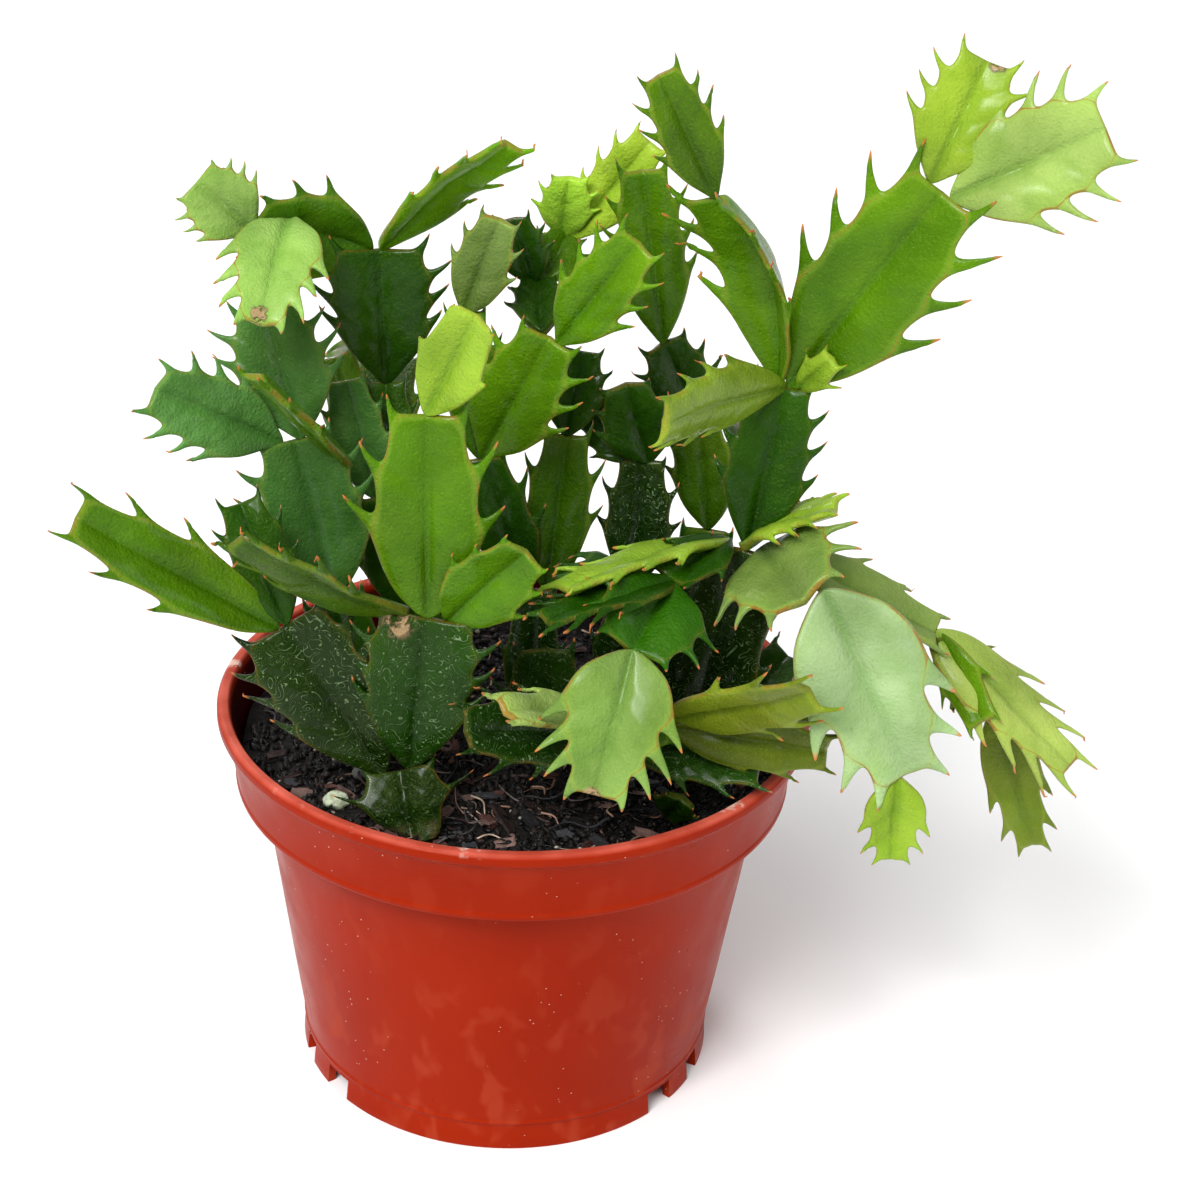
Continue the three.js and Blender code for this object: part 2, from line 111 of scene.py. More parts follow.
def readPoints(mesh):
    points = np.zeros(len(mesh.vertices) * 3)
    mesh.vertices.foreach_get('co', points)
    return points.reshape(-1, 3)


def writePoints(mesh, points):
    mesh.vertices.foreach_set('co', np.ascontiguousarray(points, dtype=np.float32).ravel())
    mesh.update()


def readValues(mesh, name):
    values = np.zeros(len(mesh.vertices))
    mesh.attributes[name].data.foreach_get('value', values)
    return values


def writeValues(mesh, name, values):
    found = mesh.attributes.get(name) or mesh.attributes.new(name, 'FLOAT', 'POINT')
    found.data.foreach_set('value', np.ascontiguousarray(values, dtype=np.float32))


def writeTint(mesh, colour, shades=1.0):  # shades: one number, or one for each point
    tint = mesh.attributes.get('tint') or mesh.attributes.new('tint', 'FLOAT_COLOR', 'POINT')
    values = np.ones((len(mesh.vertices), 4), dtype=np.float32)
    values[:, :3] = np.outer(np.broadcast_to(shades, len(values)), colour)
    tint.data.foreach_set('color', values.ravel())


def wobble(n):  # an even, repeatable wobble between -1 and 1 for a whole number
    wave = math.sin(n * 12.9898) * 43758.5453
    return 2 * (wave - math.floor(wave)) - 1


def linear(*shades):  # a colour given as 0 to 255
    return tuple((c / 255 / 12.92) if c <= 10 else ((c / 255 + 0.055) / 1.055) ** 2.4 for c in shades)


# small helpers for materials, which work on the one that is being made: its nodes, shader and place on the piece
current = {}


def startMaterial(name, **shaderValues):
    material = bpy.data.materials.new(name)
    material.use_nodes = True
    current['tree'] = material.node_tree
    current['shader'] = material.node_tree.nodes['Principled BSDF']
    for socket, value in shaderValues.items():
        current['shader'].inputs[socket.replace('_', ' ')].default_value = value
    current['place'] = addNode('TexCoord').outputs['Object']
    return material


def addNode(kind, inputs={}, **settings):
    tree = current['tree']
    node = tree.nodes.new('ShaderNode' + kind)
    for name, value in settings.items():
        setattr(node, name, value)
    for name, value in inputs.items():
        if isinstance(value, bpy.types.NodeSocket):
            tree.links.new(value, node.inputs[name])
        else:
            node.inputs[name].default_value = value
    return node


def toShader(value, socket):
    current['tree'].links.new(value, current['shader'].inputs[socket])


def calc(operation, *values):
    return addNode('Math', dict(enumerate(values)), operation=operation).outputs[0]


def plus(first, second):
    return calc('ADD', first, second)


def times(first, second):
    return calc('MULTIPLY', first, second)


def strongest(first, second):
    return calc('MAXIMUM', first, second)


def fade(value, low, high, lowTo=0.0, highTo=1.0):
    inputs = {'Value': value, 'From Min': low, 'From Max': high, 'To Min': lowTo, 'To Max': highTo}
    return addNode('MapRange', inputs, interpolation_type='SMOOTHSTEP').outputs[0]


def blendColour(factor, first, second, way='MIX'):
    first = (*first, 1) if isinstance(first, tuple) else first
    second = (*second, 1) if isinstance(second, tuple) else second
    return addNode('Mix', {0: factor, 6: first, 7: second}, data_type='RGBA', blend_type=way).outputs[2]


def grain(scale, detail=2.0, rough=0.5, twist=0.0, place=None):
    inputs = {'Scale': scale, 'Detail': detail, 'Roughness': rough, 'Distortion': twist}
    return addNode('TexNoise', {'Vector': place or current['place'], **inputs}).outputs[0]


def patchy(scale, detail, low, high, lowTo=0.0, highTo=1.0):  # a grain that fades between two limits
    return fade(grain(scale, detail), low, high, lowTo, highTo)


def spots(scale):
    return addNode('TexVoronoi', {'Vector': current['place'], 'Scale': scale}).outputs['Distance']


def stretched(x, y, z):
    return addNode('Mapping', {'Vector': current['place'], 'Scale': (x, y, z)}).outputs[0]


def heightAt():
    return addNode('SeparateXYZ', {0: current['place']}).outputs[2]


def attribute(name, output='Fac'):
    return addNode('Attribute', attribute_name=name).outputs[output]


def bump(height, distance, strength=1.0):
    node = addNode('Bump', {'Height': height, 'Distance': distance, 'Strength': strength})
    toShader(node.outputs[0], 'Normal')


# the camera stands where the photograph was taken, a little rolled to the right
viewSetup = {
    'target': (16.4, 0, 104), 'distance': 528.7, 'elevation': 27.7, 'roll': 2.65,
    'lens': 79.62, 'sensor': 36, 'near': 0.02, 'far': 20,
}


def makeCamera():
    tilt = math.radians(viewSetup['elevation'])
    roll = math.radians(viewSetup['roll'])
    back = Vector((0, -math.cos(tilt), math.sin(tilt)))
    right, up = Vector((1, 0, 0)), Vector((0, math.sin(tilt), math.cos(tilt)))
    right, up = (
        math.cos(roll) * right + math.sin(roll) * up,
        math.cos(roll) * up - math.sin(roll) * right,
    )
    data = bpy.data.cameras.new('plantCamera')
    data.lens, data.sensor_width, data.sensor_fit = viewSetup['lens'], viewSetup['sensor'], 'HORIZONTAL'
    data.clip_start, data.clip_end = viewSetup['near'], viewSetup['far']
    camera = bpy.data.objects.new('plantCamera', data)
    bpy.context.scene.collection.objects.link(camera)
    spot = Vector(viewSetup['target']) * mm + back * viewSetup['distance'] * mm
    camera.matrix_world = Matrix.Translation(spot) @ Matrix((right, up, back)).transposed().to_4x4()
    bpy.context.scene.camera = camera


makeCamera()
print('camera set')

# nursery pot: its profile, (radius, height), from the pad under its floor up the outside and down to the floor's top;
# notches: degrees round from the front, and how many degrees each spans
potForm = {
    'steps': 144,
    'profile': [
        (9, 0), (8, 4.2), (41.3, 4.2), (41.4, 0), (43.3, 0), (43.1, 2.5), (42.8, 5), (42.86, 5.7), (43.22, 6.0),
        (43.26, 6.5), (43.02, 6.9), (45.0, 20.2), (47.1, 35), (49.2, 49.6), (51.4, 64.5), (55.9, 64.5), (56.45, 64.9),
        (56.6, 65.9), (56.35, 66.4), (57.3, 72.6), (58.45, 77.6), (59.1, 78.4), (60, 79.2), (60, 80.8),
        (59.2, 81.5), (57.8, 81.5), (57.3, 80.7), (56.0, 73), (54.8, 66), (49.9, 66), (45.7, 36), (41.5, 5.9),
        (3, 5.9),
    ],
    'edgeRound': 0.3, 'sharpEdge': 24, 'smoothEdge': 32, 'foot': 43.3,
    'notches': [(51, 15), (69, 11), (111, 11), (129, 15), (-51, 15), (-69, 11), (-111, 11), (-129, 15)],
    'notchSlant': 0.62, 'notchTop': 4.6, 'notchDeep': 10, 'notchInset': 1, 'notchBelow': 2,
    'drainHoles': 6, 'drainHole': 5, 'drainSteps': 24, 'drainRing': 0.72, 'drainHeight': 5, 'drainDeep': 6,
}


def makeRings(name, rings, steps):
    radius, height = rings[0]
    spot = (0, 0, height * mm)
    piece = addPiece(bpy.ops.mesh.primitive_circle_add, vertices=steps, radius=radius * mm, location=spot)
    piece.name = name
    bakePlace(piece)
    bpy.ops.object.mode_set(mode='EDIT')
    bpy.ops.mesh.select_mode(type='EDGE')
    bpy.ops.mesh.select_all(action='SELECT')
    for nextRadius, nextHeight in rings[1:]:
        bpy.ops.mesh.extrude_edges_move(TRANSFORM_OT_translate={'value': (0, 0, (nextHeight - height) * mm)})
        scale = nextRadius / radius
        bpy.ops.transform.resize(value=(scale, scale, 1), center_override=(0, 0, nextHeight * mm))
        radius, height = nextRadius, nextHeight
    bpy.ops.mesh.edge_face_add()  # closes the last ring
    body = bmesh.from_edit_mesh(piece.data)
    for edge in body.edges:
        edge.select_set(edge.is_boundary)
    body.select_flush_mode()
    bmesh.update_edit_mesh(piece.data)
    bpy.ops.mesh.edge_face_add()  # and the first
    bpy.ops.mesh.select_all(action='SELECT')
    bpy.ops.mesh.normals_make_consistent(inside=False)
    bpy.ops.object.mode_set(mode='OBJECT')
    return piece


def addCutter(width, depth, height, slant, spot, turn):
    cutter = addPiece(bpy.ops.mesh.primitive_cube_add, size=1)
    for vertex in cutter.data.vertices:
        vertex.select = vertex.co.z > 0
    bpy.ops.object.mode_set(mode='EDIT')
    bpy.ops.transform.resize(value=(slant, 1, 1), center_override=(0, 0, 0.5))  # the notch is narrower at its top
    bpy.ops.object.mode_set(mode='OBJECT')
    cutter.location, cutter.rotation_euler, cutter.scale = spot, (0, 0, turn), (width, depth, height)
    bakePlace(cutter)
    return cutter


def cutAway(piece, cutters):
    cutter = joinPieces(cutters, 'cutter') if len(cutters) > 1 else cutters[0]
    applyModifier(piece, 'BOOLEAN', operation='DIFFERENCE', object=cutter, solver='EXACT')
    bpy.data.objects.remove(cutter)


def makeNotches():
    foot, below = potForm['foot'], potForm['notchBelow']
    for around, span in potForm['notches']:
        turn = math.radians(around)
        width = 2 * foot * math.sin(math.radians(span / 2))
        spot = Vector((math.sin(turn), -math.cos(turn), 0)) * (foot - potForm['notchInset']) * mm
        spot.z = (potForm['notchTop'] - below) / 2 * mm
        size = (width * mm, potForm['notchDeep'] * mm, (potForm['notchTop'] + below) * mm)
        yield addCutter(*size, potForm['notchSlant'], spot, turn)


def makeDrainHoles():
    for i in range(potForm['drainHoles']):
        turn = 2 * math.pi * i / potForm['drainHoles']
        spot = Vector((math.sin(turn), -math.cos(turn), 0)) * potForm['drainRing'] * potForm['foot'] * mm
        spot.z = potForm['drainHeight'] * mm
        size = {'radius': potForm['drainHole'] / 2 * mm, 'depth': potForm['drainDeep'] * mm}
        hole = addPiece(bpy.ops.mesh.primitive_cylinder_add, vertices=potForm['drainSteps'], location=spot, **size)
        bakePlace(hole)
        yield hole


def makePot():
    pot = makeRings('nurseryPot', potForm['profile'], potForm['steps'])
    sharp = math.radians(potForm['sharpEdge'])
    applyModifier(pot, 'BEVEL', width=potForm['edgeRound'] * mm, segments=3, limit_method='ANGLE', angle_limit=sharp)
    cutAway(pot, list(makeNotches()))
    cutAway(pot, list(makeDrainHoles()))
    return smoothPiece(pot, potForm['smoothEdge'])


# heights and distances in a material are in metres
potLook = {
    'plastic': linear(150, 35, 8),
    'stain': linear(122, 20, 4), 'stainScale': 26, 'stainMost': 0.35,
    'waterMark': linear(196, 92, 62), 'markScale': 150, 'markStretch': 0.62, 'markUpTo': 0.062, 'markMix': 0.2,
    # next: a painted sheen of reflected light on the top of the rim, and the heights and grain where it lies
    'lip': linear(206, 96, 78), 'lipFrom': (0.0806, 0.0814), 'lipScale': 110,
    'speck': linear(232, 205, 190), 'scuffFrom': (0.0803, 0.0812), 'scuffScale': 85, 'scuffMost': 0.75,
    'speckScale': 520, 'speckPatch': 48, 'speckMix': 0.85,
    # inside: painted shade on the inner wall above the soil; wallInside, soilLine and lipInside bound it
    'inside': linear(58, 7, 4), 'wallSlope': 0.17, 'wallInside': (0.0444, 0.0440), 'soilLine': (0.0655, 0.0660),
    'lipInside': (0.0806, 0.079),
    'roughness': 0.34, 'roughVary': 0.07, 'markRough': 0.12,
    'fineGrain': 700, 'broadGrain': 60, 'bumpDepth': 0.00009,
}


def makePotPlastic():
    look = potLook
    material = startMaterial(
        'potPlastic', Specular_IOR_Level=0.05, Specular_Tint=(1, 0.45, 0.3, 1), Coat_Weight=0.035, Coat_Roughness=0.16,
    )
    height = heightAt()
    stain = patchy(look['stainScale'], 3, 0.35, 0.75, 0, look['stainMost'])
    colour = blendColour(stain, look['plastic'], look['stain'])
    # dried water runs down the wall
    drips = grain(look['markScale'], 2, 0.5, 0.3, stretched(1, 1, look['markStretch']))
    marks = times(fade(drips, 0.52, 0.66), fade(height, 0.0, look['markUpTo'], 1, 0.25))
    colour = blendColour(times(marks, look['markMix']), colour, look['waterMark'])
    # the top of the rim is painted lighter as a painted sheen of reflected light, and is scuffed pale
    lip = times(fade(height, *look['lipFrom']), patchy(look['lipScale'], 3, 0.3, 0.7, 0.35, 0.9))
    colour = blendColour(lip, colour, look['lip'])
    scuffs = fade(grain(look['scuffScale'], 4, 0.65), 0.58, 0.66, 0, look['scuffMost'])
    colour = blendColour(times(fade(height, *look['scuffFrom']), scuffs), colour, look['speck'])
    # the inner wall is darker, a painted shade for the shadow inside the pot; its slope tells it from the collar's
    # face
    middle = addNode('VectorMath', {0: stretched(1, 1, 0)}, operation='LENGTH').outputs[1]
    slope = calc('SUBTRACT', middle, times(height, look['wallSlope']))
    inside = times(fade(slope, *look['wallInside']), fade(height, *look['lipInside']))
    colour = blendColour(times(inside, fade(height, *look['soilLine'])), colour, look['inside'])
    specks = times(fade(spots(look['speckScale']), 0.09, 0.05), patchy(look['speckPatch'], 1, 0.56, 0.64))
    colour = blendColour(times(specks, look['speckMix']), colour, look['speck'])
    toShader(colour, 'Base Color')
    least, most = look['roughness'] - look['roughVary'], look['roughness'] + look['roughVary']
    toShader(plus(patchy(90, 4, 0.3, 0.7, least, most), times(marks, look['markRough'])), 'Roughness')
    skin = plus(times(grain(look['fineGrain'], 3), 0.35), grain(look['broadGrain'], 2))
    bump(plus(skin, times(specks, 1.2)), look['bumpDepth'], 0.7)
    return material


finishPiece(makePot(), makePotPlastic(), 'pot_plastic', 'pot')
print('pot made')

# potting soil: a mound with waves, lumps and crumbled grains on its top
soilForm = {
    'level': 72, 'radius': 54.8, 'steps': 132, 'smoothEdge': 60,
    'mound': 1.2, 'wave': 0.45, 'ripple': 0.3,
    'lumps': 1.0, 'lumpScale': 0.22, 'crumble': 0.55, 'crumbleScale': 0.75, 'settled': 0.25,
    'middle': 1.2, 'edge': 54.9, 'rings': 44, 'blank': 74,  # the top is made flat, at the height of the blank
    'sides': [(54.5, 66.3), (49.6, 66.3), (41.2, 6.2), (2, 6.2)],
}


def soilHeight(x, y):
    mound = soilForm['mound'] * (1 - (x * x + y * y) / (soilForm['radius'] ** 2))
    wave = soilForm['wave'] * math.sin(0.31 * x + 1.3) * math.cos(0.27 * y)
    return soilForm['level'] + mound + (wave + soilForm['ripple'] * math.sin(0.5 * x - 0.43 * y))


def soilTop(x, y):
    spot = Vector((x, y, 0))
    lumps = soilForm['lumps'] * noise.noise(spot * soilForm['lumpScale'])
    lumps += soilForm['crumble'] * noise.noise(spot * soilForm['crumbleScale'])
    return soilHeight(x, y) + lumps - soilForm['settled']


def makeSoil():
    middle, edge, count, blank = (soilForm[key] for key in ('middle', 'edge', 'rings', 'blank'))
    rings = [(middle + (edge - middle) * i / count, blank) for i in range(count + 1)]
    soil = makeRings('pottingSoil', rings + soilForm['sides'], soilForm['steps'])
    applyModifier(soil, 'TRIANGULATE')
    points = readPoints(soil.data) / mm
    for point in points:
        if point[2] > blank - 1:
            point[2] = soilTop(point[0], point[1])
    writePoints(soil.data, points * mm)
    return smoothPiece(soil, soilForm['smoothEdge'])


def roughen(piece, amount, seed):
    dice = random.Random(seed)
    for vertex in piece.data.vertices:
        vertex.co *= 1 + dice.uniform(-amount, amount)


crumbRough = 0.28  # how uneven a crumb is


def makeCrumb(seed):
    crumb = addPiece(bpy.ops.mesh.primitive_ico_sphere_add, subdivisions=1, radius=1)
    roughen(crumb, crumbRough, seed)
    return smoothPiece(crumb)


def makeChip(seed):
    chip = addPiece(bpy.ops.mesh.primitive_cube_add, size=2)
    bpy.ops.object.mode_set(mode='EDIT')
    bpy.ops.mesh.subdivide(number_cuts=1)
    bpy.ops.object.mode_set(mode='OBJECT')
    dice = random.Random(seed)
    for vertex in chip.data.vertices:
        vertex.co.x *= 1 - 0.35 * abs(vertex.co.y) + dice.uniform(-0.15, 0.15)
        vertex.co.z += 0.8 * vertex.co.x * vertex.co.x * dice.uniform(0, 1) + dice.uniform(-0.3, 0.3)
        vertex.co.y += dice.uniform(-0.2, 0.2)
    return chip


rootletForm = {'start': -5, 'step': 3.0, 'swerve': 1.3, 'thick': 0.24, 'taper': 0.25}


def makeRootlet(seed):
    dice = random.Random(seed)
    rootlet = addPiece(bpy.ops.curve.primitive_bezier_curve_add)
    spline = rootlet.data.splines[0]
    spline.bezier_points.add(2)
    heading, spot = dice.uniform(-0.4, 0.4), Vector((rootletForm['start'], 0, 0))
    for i, point in enumerate(spline.bezier_points):
        point.co = spot
        point.handle_left_type = point.handle_right_type = 'AUTO'
        point.radius = 1.15 - rootletForm['taper'] * i
        heading += dice.uniform(-rootletForm['swerve'], rootletForm['swerve'])
        way = Vector((math.cos(heading), math.sin(heading), dice.uniform(-0.3, 0.22)))
        spot = spot + way * rootletForm['step']
    rootlet.data.resolution_u = 4
    rootlet.data.bevel_resolution = 0
    rootlet.data.bevel_depth = rootletForm['thick']
    bpy.ops.object.convert(target='MESH')
    return smoothPiece(bpy.context.object)


def scatter(name, bits):
    make, kinds, first = bits['kinds']
    masters = [make(first + i) for i in range(kinds)]
    dice = random.Random(bits['seed'])
    pieces = []
    while len(pieces) < bits['count']:
        radius, around = bits['reach'] * math.sqrt(dice.random()), dice.uniform(0, 2 * math.pi)
        x, y = radius * math.cos(around), radius * math.sin(around)
        if y > 0 and dice.random() < behindShare:
            continue
        size = [dice.uniform(*span) for span in bits['size']]
        turn = Matrix.Rotation(dice.uniform(0, 2 * math.pi), 4, 'Z')
        for axis in 'XY':
            turn = turn @ Matrix.Rotation(dice.uniform(-bits['tilt'], bits['tilt']), 4, axis)
        spot = Vector((x, y, soilTop(x, y) + bits['lift'] * size[2]))
        piece = copyOf(dice.choice(masters))
        piece.data.transform(Matrix.Scale(mm, 4) @ Matrix.Translation(spot) @ turn @ Matrix.Diagonal((*size, 1)))
        shade = dice.uniform(0.6, 1.35)
        writeTint(piece.data, [channel * shade for channel in dice.choice(bits['tints'])])
        pieces.append(piece)
    whole = joinPieces(pieces, name)
    for master in masters:
        bpy.data.objects.remove(master)
    return whole


soilLook = {
    'peat': (0.009, 0.007, 0.006), 'clump': (0.004, 0.003, 0.003), 'clumpScale': 420,
    'fibre': (0.20, 0.15, 0.13), 'fibreScale': 300, 'fibreMix': 0.05,
    'roughScale': 800, 'fineGrain': 1400,
}
behindShare = 0.45  # of the bits that would lie behind, this share is left out, as the soil is bare in front

# what lies on the soil. kinds: how each is made, how many shapes, the number of the first; size: the least and most
# along x, y and z; lift: how high it lies, as a share of its thickness; skin: name, least and most roughness, depth
soilBits = {
    'soilCrumbs': {
        'kinds': (makeCrumb, 4, 0), 'count': 3300, 'seed': 11, 'size': [(0.3, 1.7), (0.3, 1.1), (0.3, 1.1)],
        'lift': 0.1, 'reach': 53.2, 'tilt': 3, 'skin': ('peatCrumb', 0.12, 0.5, 0.0003),
        'tints': [(0.005, 0.004, 0.004), (0.009, 0.007, 0.006), (0.003, 0.0028, 0.003), (0.02, 0.013, 0.011)],
    },
    'barkChips': {
        'kinds': (makeChip, 5, 0), 'count': 170, 'seed': 23, 'size': [(0.5, 1.6), (1.2, 3.6), (0.16, 0.5)],
        'lift': 0.9, 'reach': 51, 'tilt': 0.5, 'skin': ('barkSkin', 0.5, 0.9, 0.0003),
        'tints': [
            (0.12, 0.05, 0.04), (0.03, 0.014, 0.012), (0.2, 0.12, 0.1),
            (0.012, 0.011, 0.012), (0.02, 0.01, 0.008), (0.05, 0.05, 0.056),
        ],
    },
    'rootlets': {
        'kinds': (makeRootlet, 6, 0), 'count': 115, 'seed': 37, 'size': [(0.55, 1.1)] * 3,
        'lift': 1.0, 'reach': 46, 'tilt': 0.25, 'skin': ('rootletSkin', 0.45, 0.7, 0.0001),
        'tints': [(0.42, 0.25, 0.18), (0.30, 0.15, 0.10), (0.16, 0.13, 0.12), (0.5, 0.36, 0.27)],
    },
    'peatFibres': {
        'kinds': (makeRootlet, 6, 20), 'count': 330, 'seed': 53, 'size': [(0.3, 0.75), (0.3, 0.75), (0.6, 1.6)],
        'lift': 0.5, 'reach': 53.2, 'tilt': 0.5, 'skin': ('fibreSkin', 0.12, 0.35, 0.0001),
        'tints': [(0.006, 0.005, 0.006), (0.012, 0.009, 0.009), (0.035, 0.02, 0.018)],
    },
    'barkStrips': {
        'kinds': (makeRootlet, 4, 40), 'count': 42, 'seed': 67, 'size': [(0.9, 1.7), (0.9, 1.7), (0.9, 1.5)],
        'lift': 0.9, 'reach': 47, 'tilt': 0.2, 'skin': ('stripSkin', 0.25, 0.6, 0.0003),
        'tints': [(0.03, 0.031, 0.036), (0.06, 0.055, 0.055), (0.015, 0.015, 0.018), (0.1, 0.07, 0.06)],
    },
    'paleGrains': {
        'kinds': (makeCrumb, 3, 50), 'count': 85, 'seed': 41, 'size': [(0.3, 0.8)] * 3,
        'lift': 0.5, 'reach': 53.2, 'tilt': 3, 'skin': ('paleGrain', 0.6, 0.9, 0.0002),
        'tints': [(0.5, 0.44, 0.36), (0.32, 0.25, 0.2), (0.6, 0.56, 0.48)],
    },
}


def makeSoilMaterial(name, roughLow, roughHigh, depth, tinted=True):
    material = startMaterial(name, Specular_IOR_Level=0.22)
    clumps = grain(soilLook['clumpScale'], 4, 0.6)
    base = attribute('tint', 'Color') if tinted else soilLook['peat']
    colour = blendColour(fade(clumps, 0.35, 0.7, 0.0, 0.55), base, soilLook['clump'])
    fibre = fade(grain(soilLook['fibreScale'], 3, 0.6, 1.5, stretched(1, 3, 1)), 0.6, 0.72)
    colour = blendColour(times(fibre, soilLook['fibreMix']), colour, soilLook['fibre'])
    toShader(colour, 'Base Color')
    toShader(patchy(soilLook['roughScale'], 2, 0.3, 0.7, roughLow, roughHigh), 'Roughness')
    bump(plus(grain(soilLook['fineGrain'], 3, 0.7), clumps), depth)
    return material


finishPiece(makeSoil(), makeSoilMaterial('dampPeat', 0.3, 0.85, 0.0009, False), 'potting_soil', 'soil')
for bitsName, bits in soilBits.items():
    finishPiece(scatter(bitsName, bits), makeSoilMaterial(*bits['skin']), 'potting_soil')
print('soil made')

# two pebbles in the soil on the left
stones = {
    'stone_pale': {
        'at': (-33, -30.5), 'size': (5, 4.2, 3.6), 'pit': (-0.4, -0.75, 0.55), 'slot': 'pale_stone',
        'tint': linear(196, 204, 176), 'stain': linear(150, 158, 110),
    },
    'stone_grey': {
        'at': (-28.8, -19.5), 'size': (4.4, 3.6, 3.2), 'pit': None, 'slot': 'grey_stone',
        'tint': linear(132, 136, 130), 'stain': linear(96, 98, 94),
    },
}
stoneForm = {'lumps': 0.09, 'bumps': 0.02, 'pitDeep': 0.10, 'pitWide': 0.17, 'sunk': 0.25}
stoneLook = {'dot': linear(60, 62, 52), 'mottleScale': 700, 'dotScale': 1600, 'fineGrain': 1800, 'bumpDepth': 0.0003}


def makeStone(name, form, seed):
    stone = addPiece(bpy.ops.mesh.primitive_ico_sphere_add, subdivisions=4, radius=0.5)
    stone.name = name
    points = readPoints(stone.data)
    for point in points:
        way = Vector(point).normalized()
        swell = stoneForm['lumps'] * noise.noise(way * 1.7 + Vector((seed, 0, 0)))
        swell += stoneForm['bumps'] * noise.noise(way * 6)
        if form['pit']:
            apart = (way - Vector(form['pit']).normalized()).length
            swell -= stoneForm['pitDeep'] * math.exp(-(apart / stoneForm['pitWide']) ** 2)
        point *= 1 + 2 * swell
    x, y = form['at']
    points = points * form['size'] + (x, y, soilHeight(x, y) + stoneForm['sunk'] * form['size'][2])
    writePoints(stone.data, points * mm)
    return smoothPiece(stone)


def makeStoneSkin(name, form):
    material = startMaterial(name, Roughness=0.75)
    mottle = fade(grain(stoneLook['mottleScale'], 4, 0.6), 0.42, 0.7)
    dots = fade(spots(stoneLook['dotScale']), 0.25, 0.1, 0, 0.5)
    colour = blendColour(dots, blendColour(mottle, form['tint'], form['stain']), stoneLook['dot'])
    toShader(colour, 'Base Color')
    bump(grain(stoneLook['fineGrain'], 4, 0.65), stoneLook['bumpDepth'])
    return material


for seed, (stoneNode, stone) in enumerate(stones.items()):
    pebbleName = stoneNode.replace('stone_', '') + 'Pebble'
    pebble = makeStone(pebbleName, stone, seed * 7 + 2)
    finishPiece(pebble, makeStoneSkin(pebbleName + 'Skin', stone), stone['slot'], stoneNode)
print('pebbles made')

# one leafy segment, in millimetres and shares; columns go from its rib to its rim
leafForm = {
    'neck': 1.9, 'sunk': 1.6, 'buried': 6,  # half width of its neck, how deep it starts in its parent or in the soil
    'rib': 2.9, 'ribTop': 2.1, 'ribEnd': 0.965, 'edge': 1.35, 'tip': 0.6,  # thicknesses, and where the rib ends
    'columns': (0, 0.28, 0.7, 1), 'thick': (0.95, 1, 0.72), 'startThick': (0.95, 0.75), 'footShare': 0.8,
    'shift': 0.02, 'reachVary': 0.15, 'hook': 0.5,  # how unevenly its teeth stand, reach and turn
    'wave': 0.5, 'puff': 1.25, 'puffFull': 12, 'dent': 0.7, 'dentScale': (0.13, 0.10), 'twist': 0.45,
    'crease': (1.2, 1.0954),  # how round a fold is along the rib, and the root of that
    'groove': 0.42, 'ribWide': 0.85, 'veinGroove': 0.2, 'veinWide': 0.8, 'veinRise': 0.75, 'quilt': 0.16, 'level': 2,
    'tuft': (0.30, 0.1), 'tuftShape': (1, 1.25, 1.1), 'tuftRough': 0.25,
}
# half outline by number of teeth, the horn beside the tip among them; the fan is widest near its top, the saws droop.
# edge: share of the length, share of half the width. claws: edge point below it, its tip's two shares, its bow.
leafOutlines = {
    2: {
        'edge': [(0, 0), (0.1, 0.32), (0.25, 0.62), (0.5, 0.86), (0.56, 0.72), (0.88, 0.6), (0.975, 0.42)],
        'claws': [(3, 0.67, 1.08, 0.06), (5, 1.07, 0.6, 0.05)],
    },
    3: {
        'edge': [
            (0, 0), (0.07, 0.32), (0.18, 0.58), (0.445, 0.83), (0.51, 0.7),
            (0.69, 0.74), (0.75, 0.6), (0.91, 0.52), (0.975, 0.4),
        ],
        'claws': [(3, 0.58, 1.1, 0.07), (5, 0.86, 0.95, 0.07), (7, 1.08, 0.57, 0.05)],
    },
    4: {
        'edge': [
            (0, 0), (0.06, 0.24), (0.18, 0.54), (0.385, 0.82), (0.445, 0.68), (0.57, 0.78),
            (0.63, 0.65), (0.75, 0.7), (0.805, 0.56), (0.92, 0.52), (0.975, 0.39),
        ],
        'claws': [(3, 0.525, 1.08, 0.07), (5, 0.725, 1.1, 0.07), (7, 0.895, 0.98, 0.07), (9, 1.075, 0.58, 0.05)],
    },
    'fan4': {
        'edge': [
            (0, 0), (0.08, 0.24), (0.22, 0.48), (0.42, 0.71), (0.475, 0.59), (0.6, 0.77),
            (0.65, 0.64), (0.775, 0.76), (0.825, 0.64), (0.93, 0.61), (0.975, 0.48),
        ],
        'claws': [(3, 0.565, 0.88, 0.07), (5, 0.75, 1.0, 0.07), (7, 0.9, 1.02, 0.07), (9, 1.065, 0.7, 0.05)],
    },
    'saw3': {
        'edge': [
            (0, 0), (0.04, 0.34), (0.14, 0.68), (0.32, 0.86), (0.46, 0.83),
            (0.555, 0.58), (0.715, 0.63), (0.79, 0.42), (0.9, 0.43), (0.965, 0.26),
        ],
        'claws': [(4, 0.665, 0.96, 0.05), (6, 0.87, 0.82, 0.05), (8, 1.03, 0.5, 0.04)],
    },
    'saw4': {
        'edge': [
            (0, 0), (0.05, 0.36), (0.15, 0.68), (0.375, 0.82), (0.455, 0.62), (0.56, 0.71),
            (0.63, 0.52), (0.71, 0.59), (0.78, 0.4), (0.88, 0.43), (0.965, 0.26),
        ],
        'claws': [(3, 0.555, 1.0, 0.05), (5, 0.76, 0.94, 0.05), (7, 0.915, 0.76, 0.05), (9, 1.045, 0.42, 0.04)],
    },
}
clawSteps = ((0.32, 0.6), (0.68, 0.32), (1.0, 0.08))  # how far out each step is and how wide
nominal = np.array([14.0, 36.0, 1.0])  # half width and length at which a claw's bow is square to it


def mix(a, b, share):
    return a + (b - a) * share


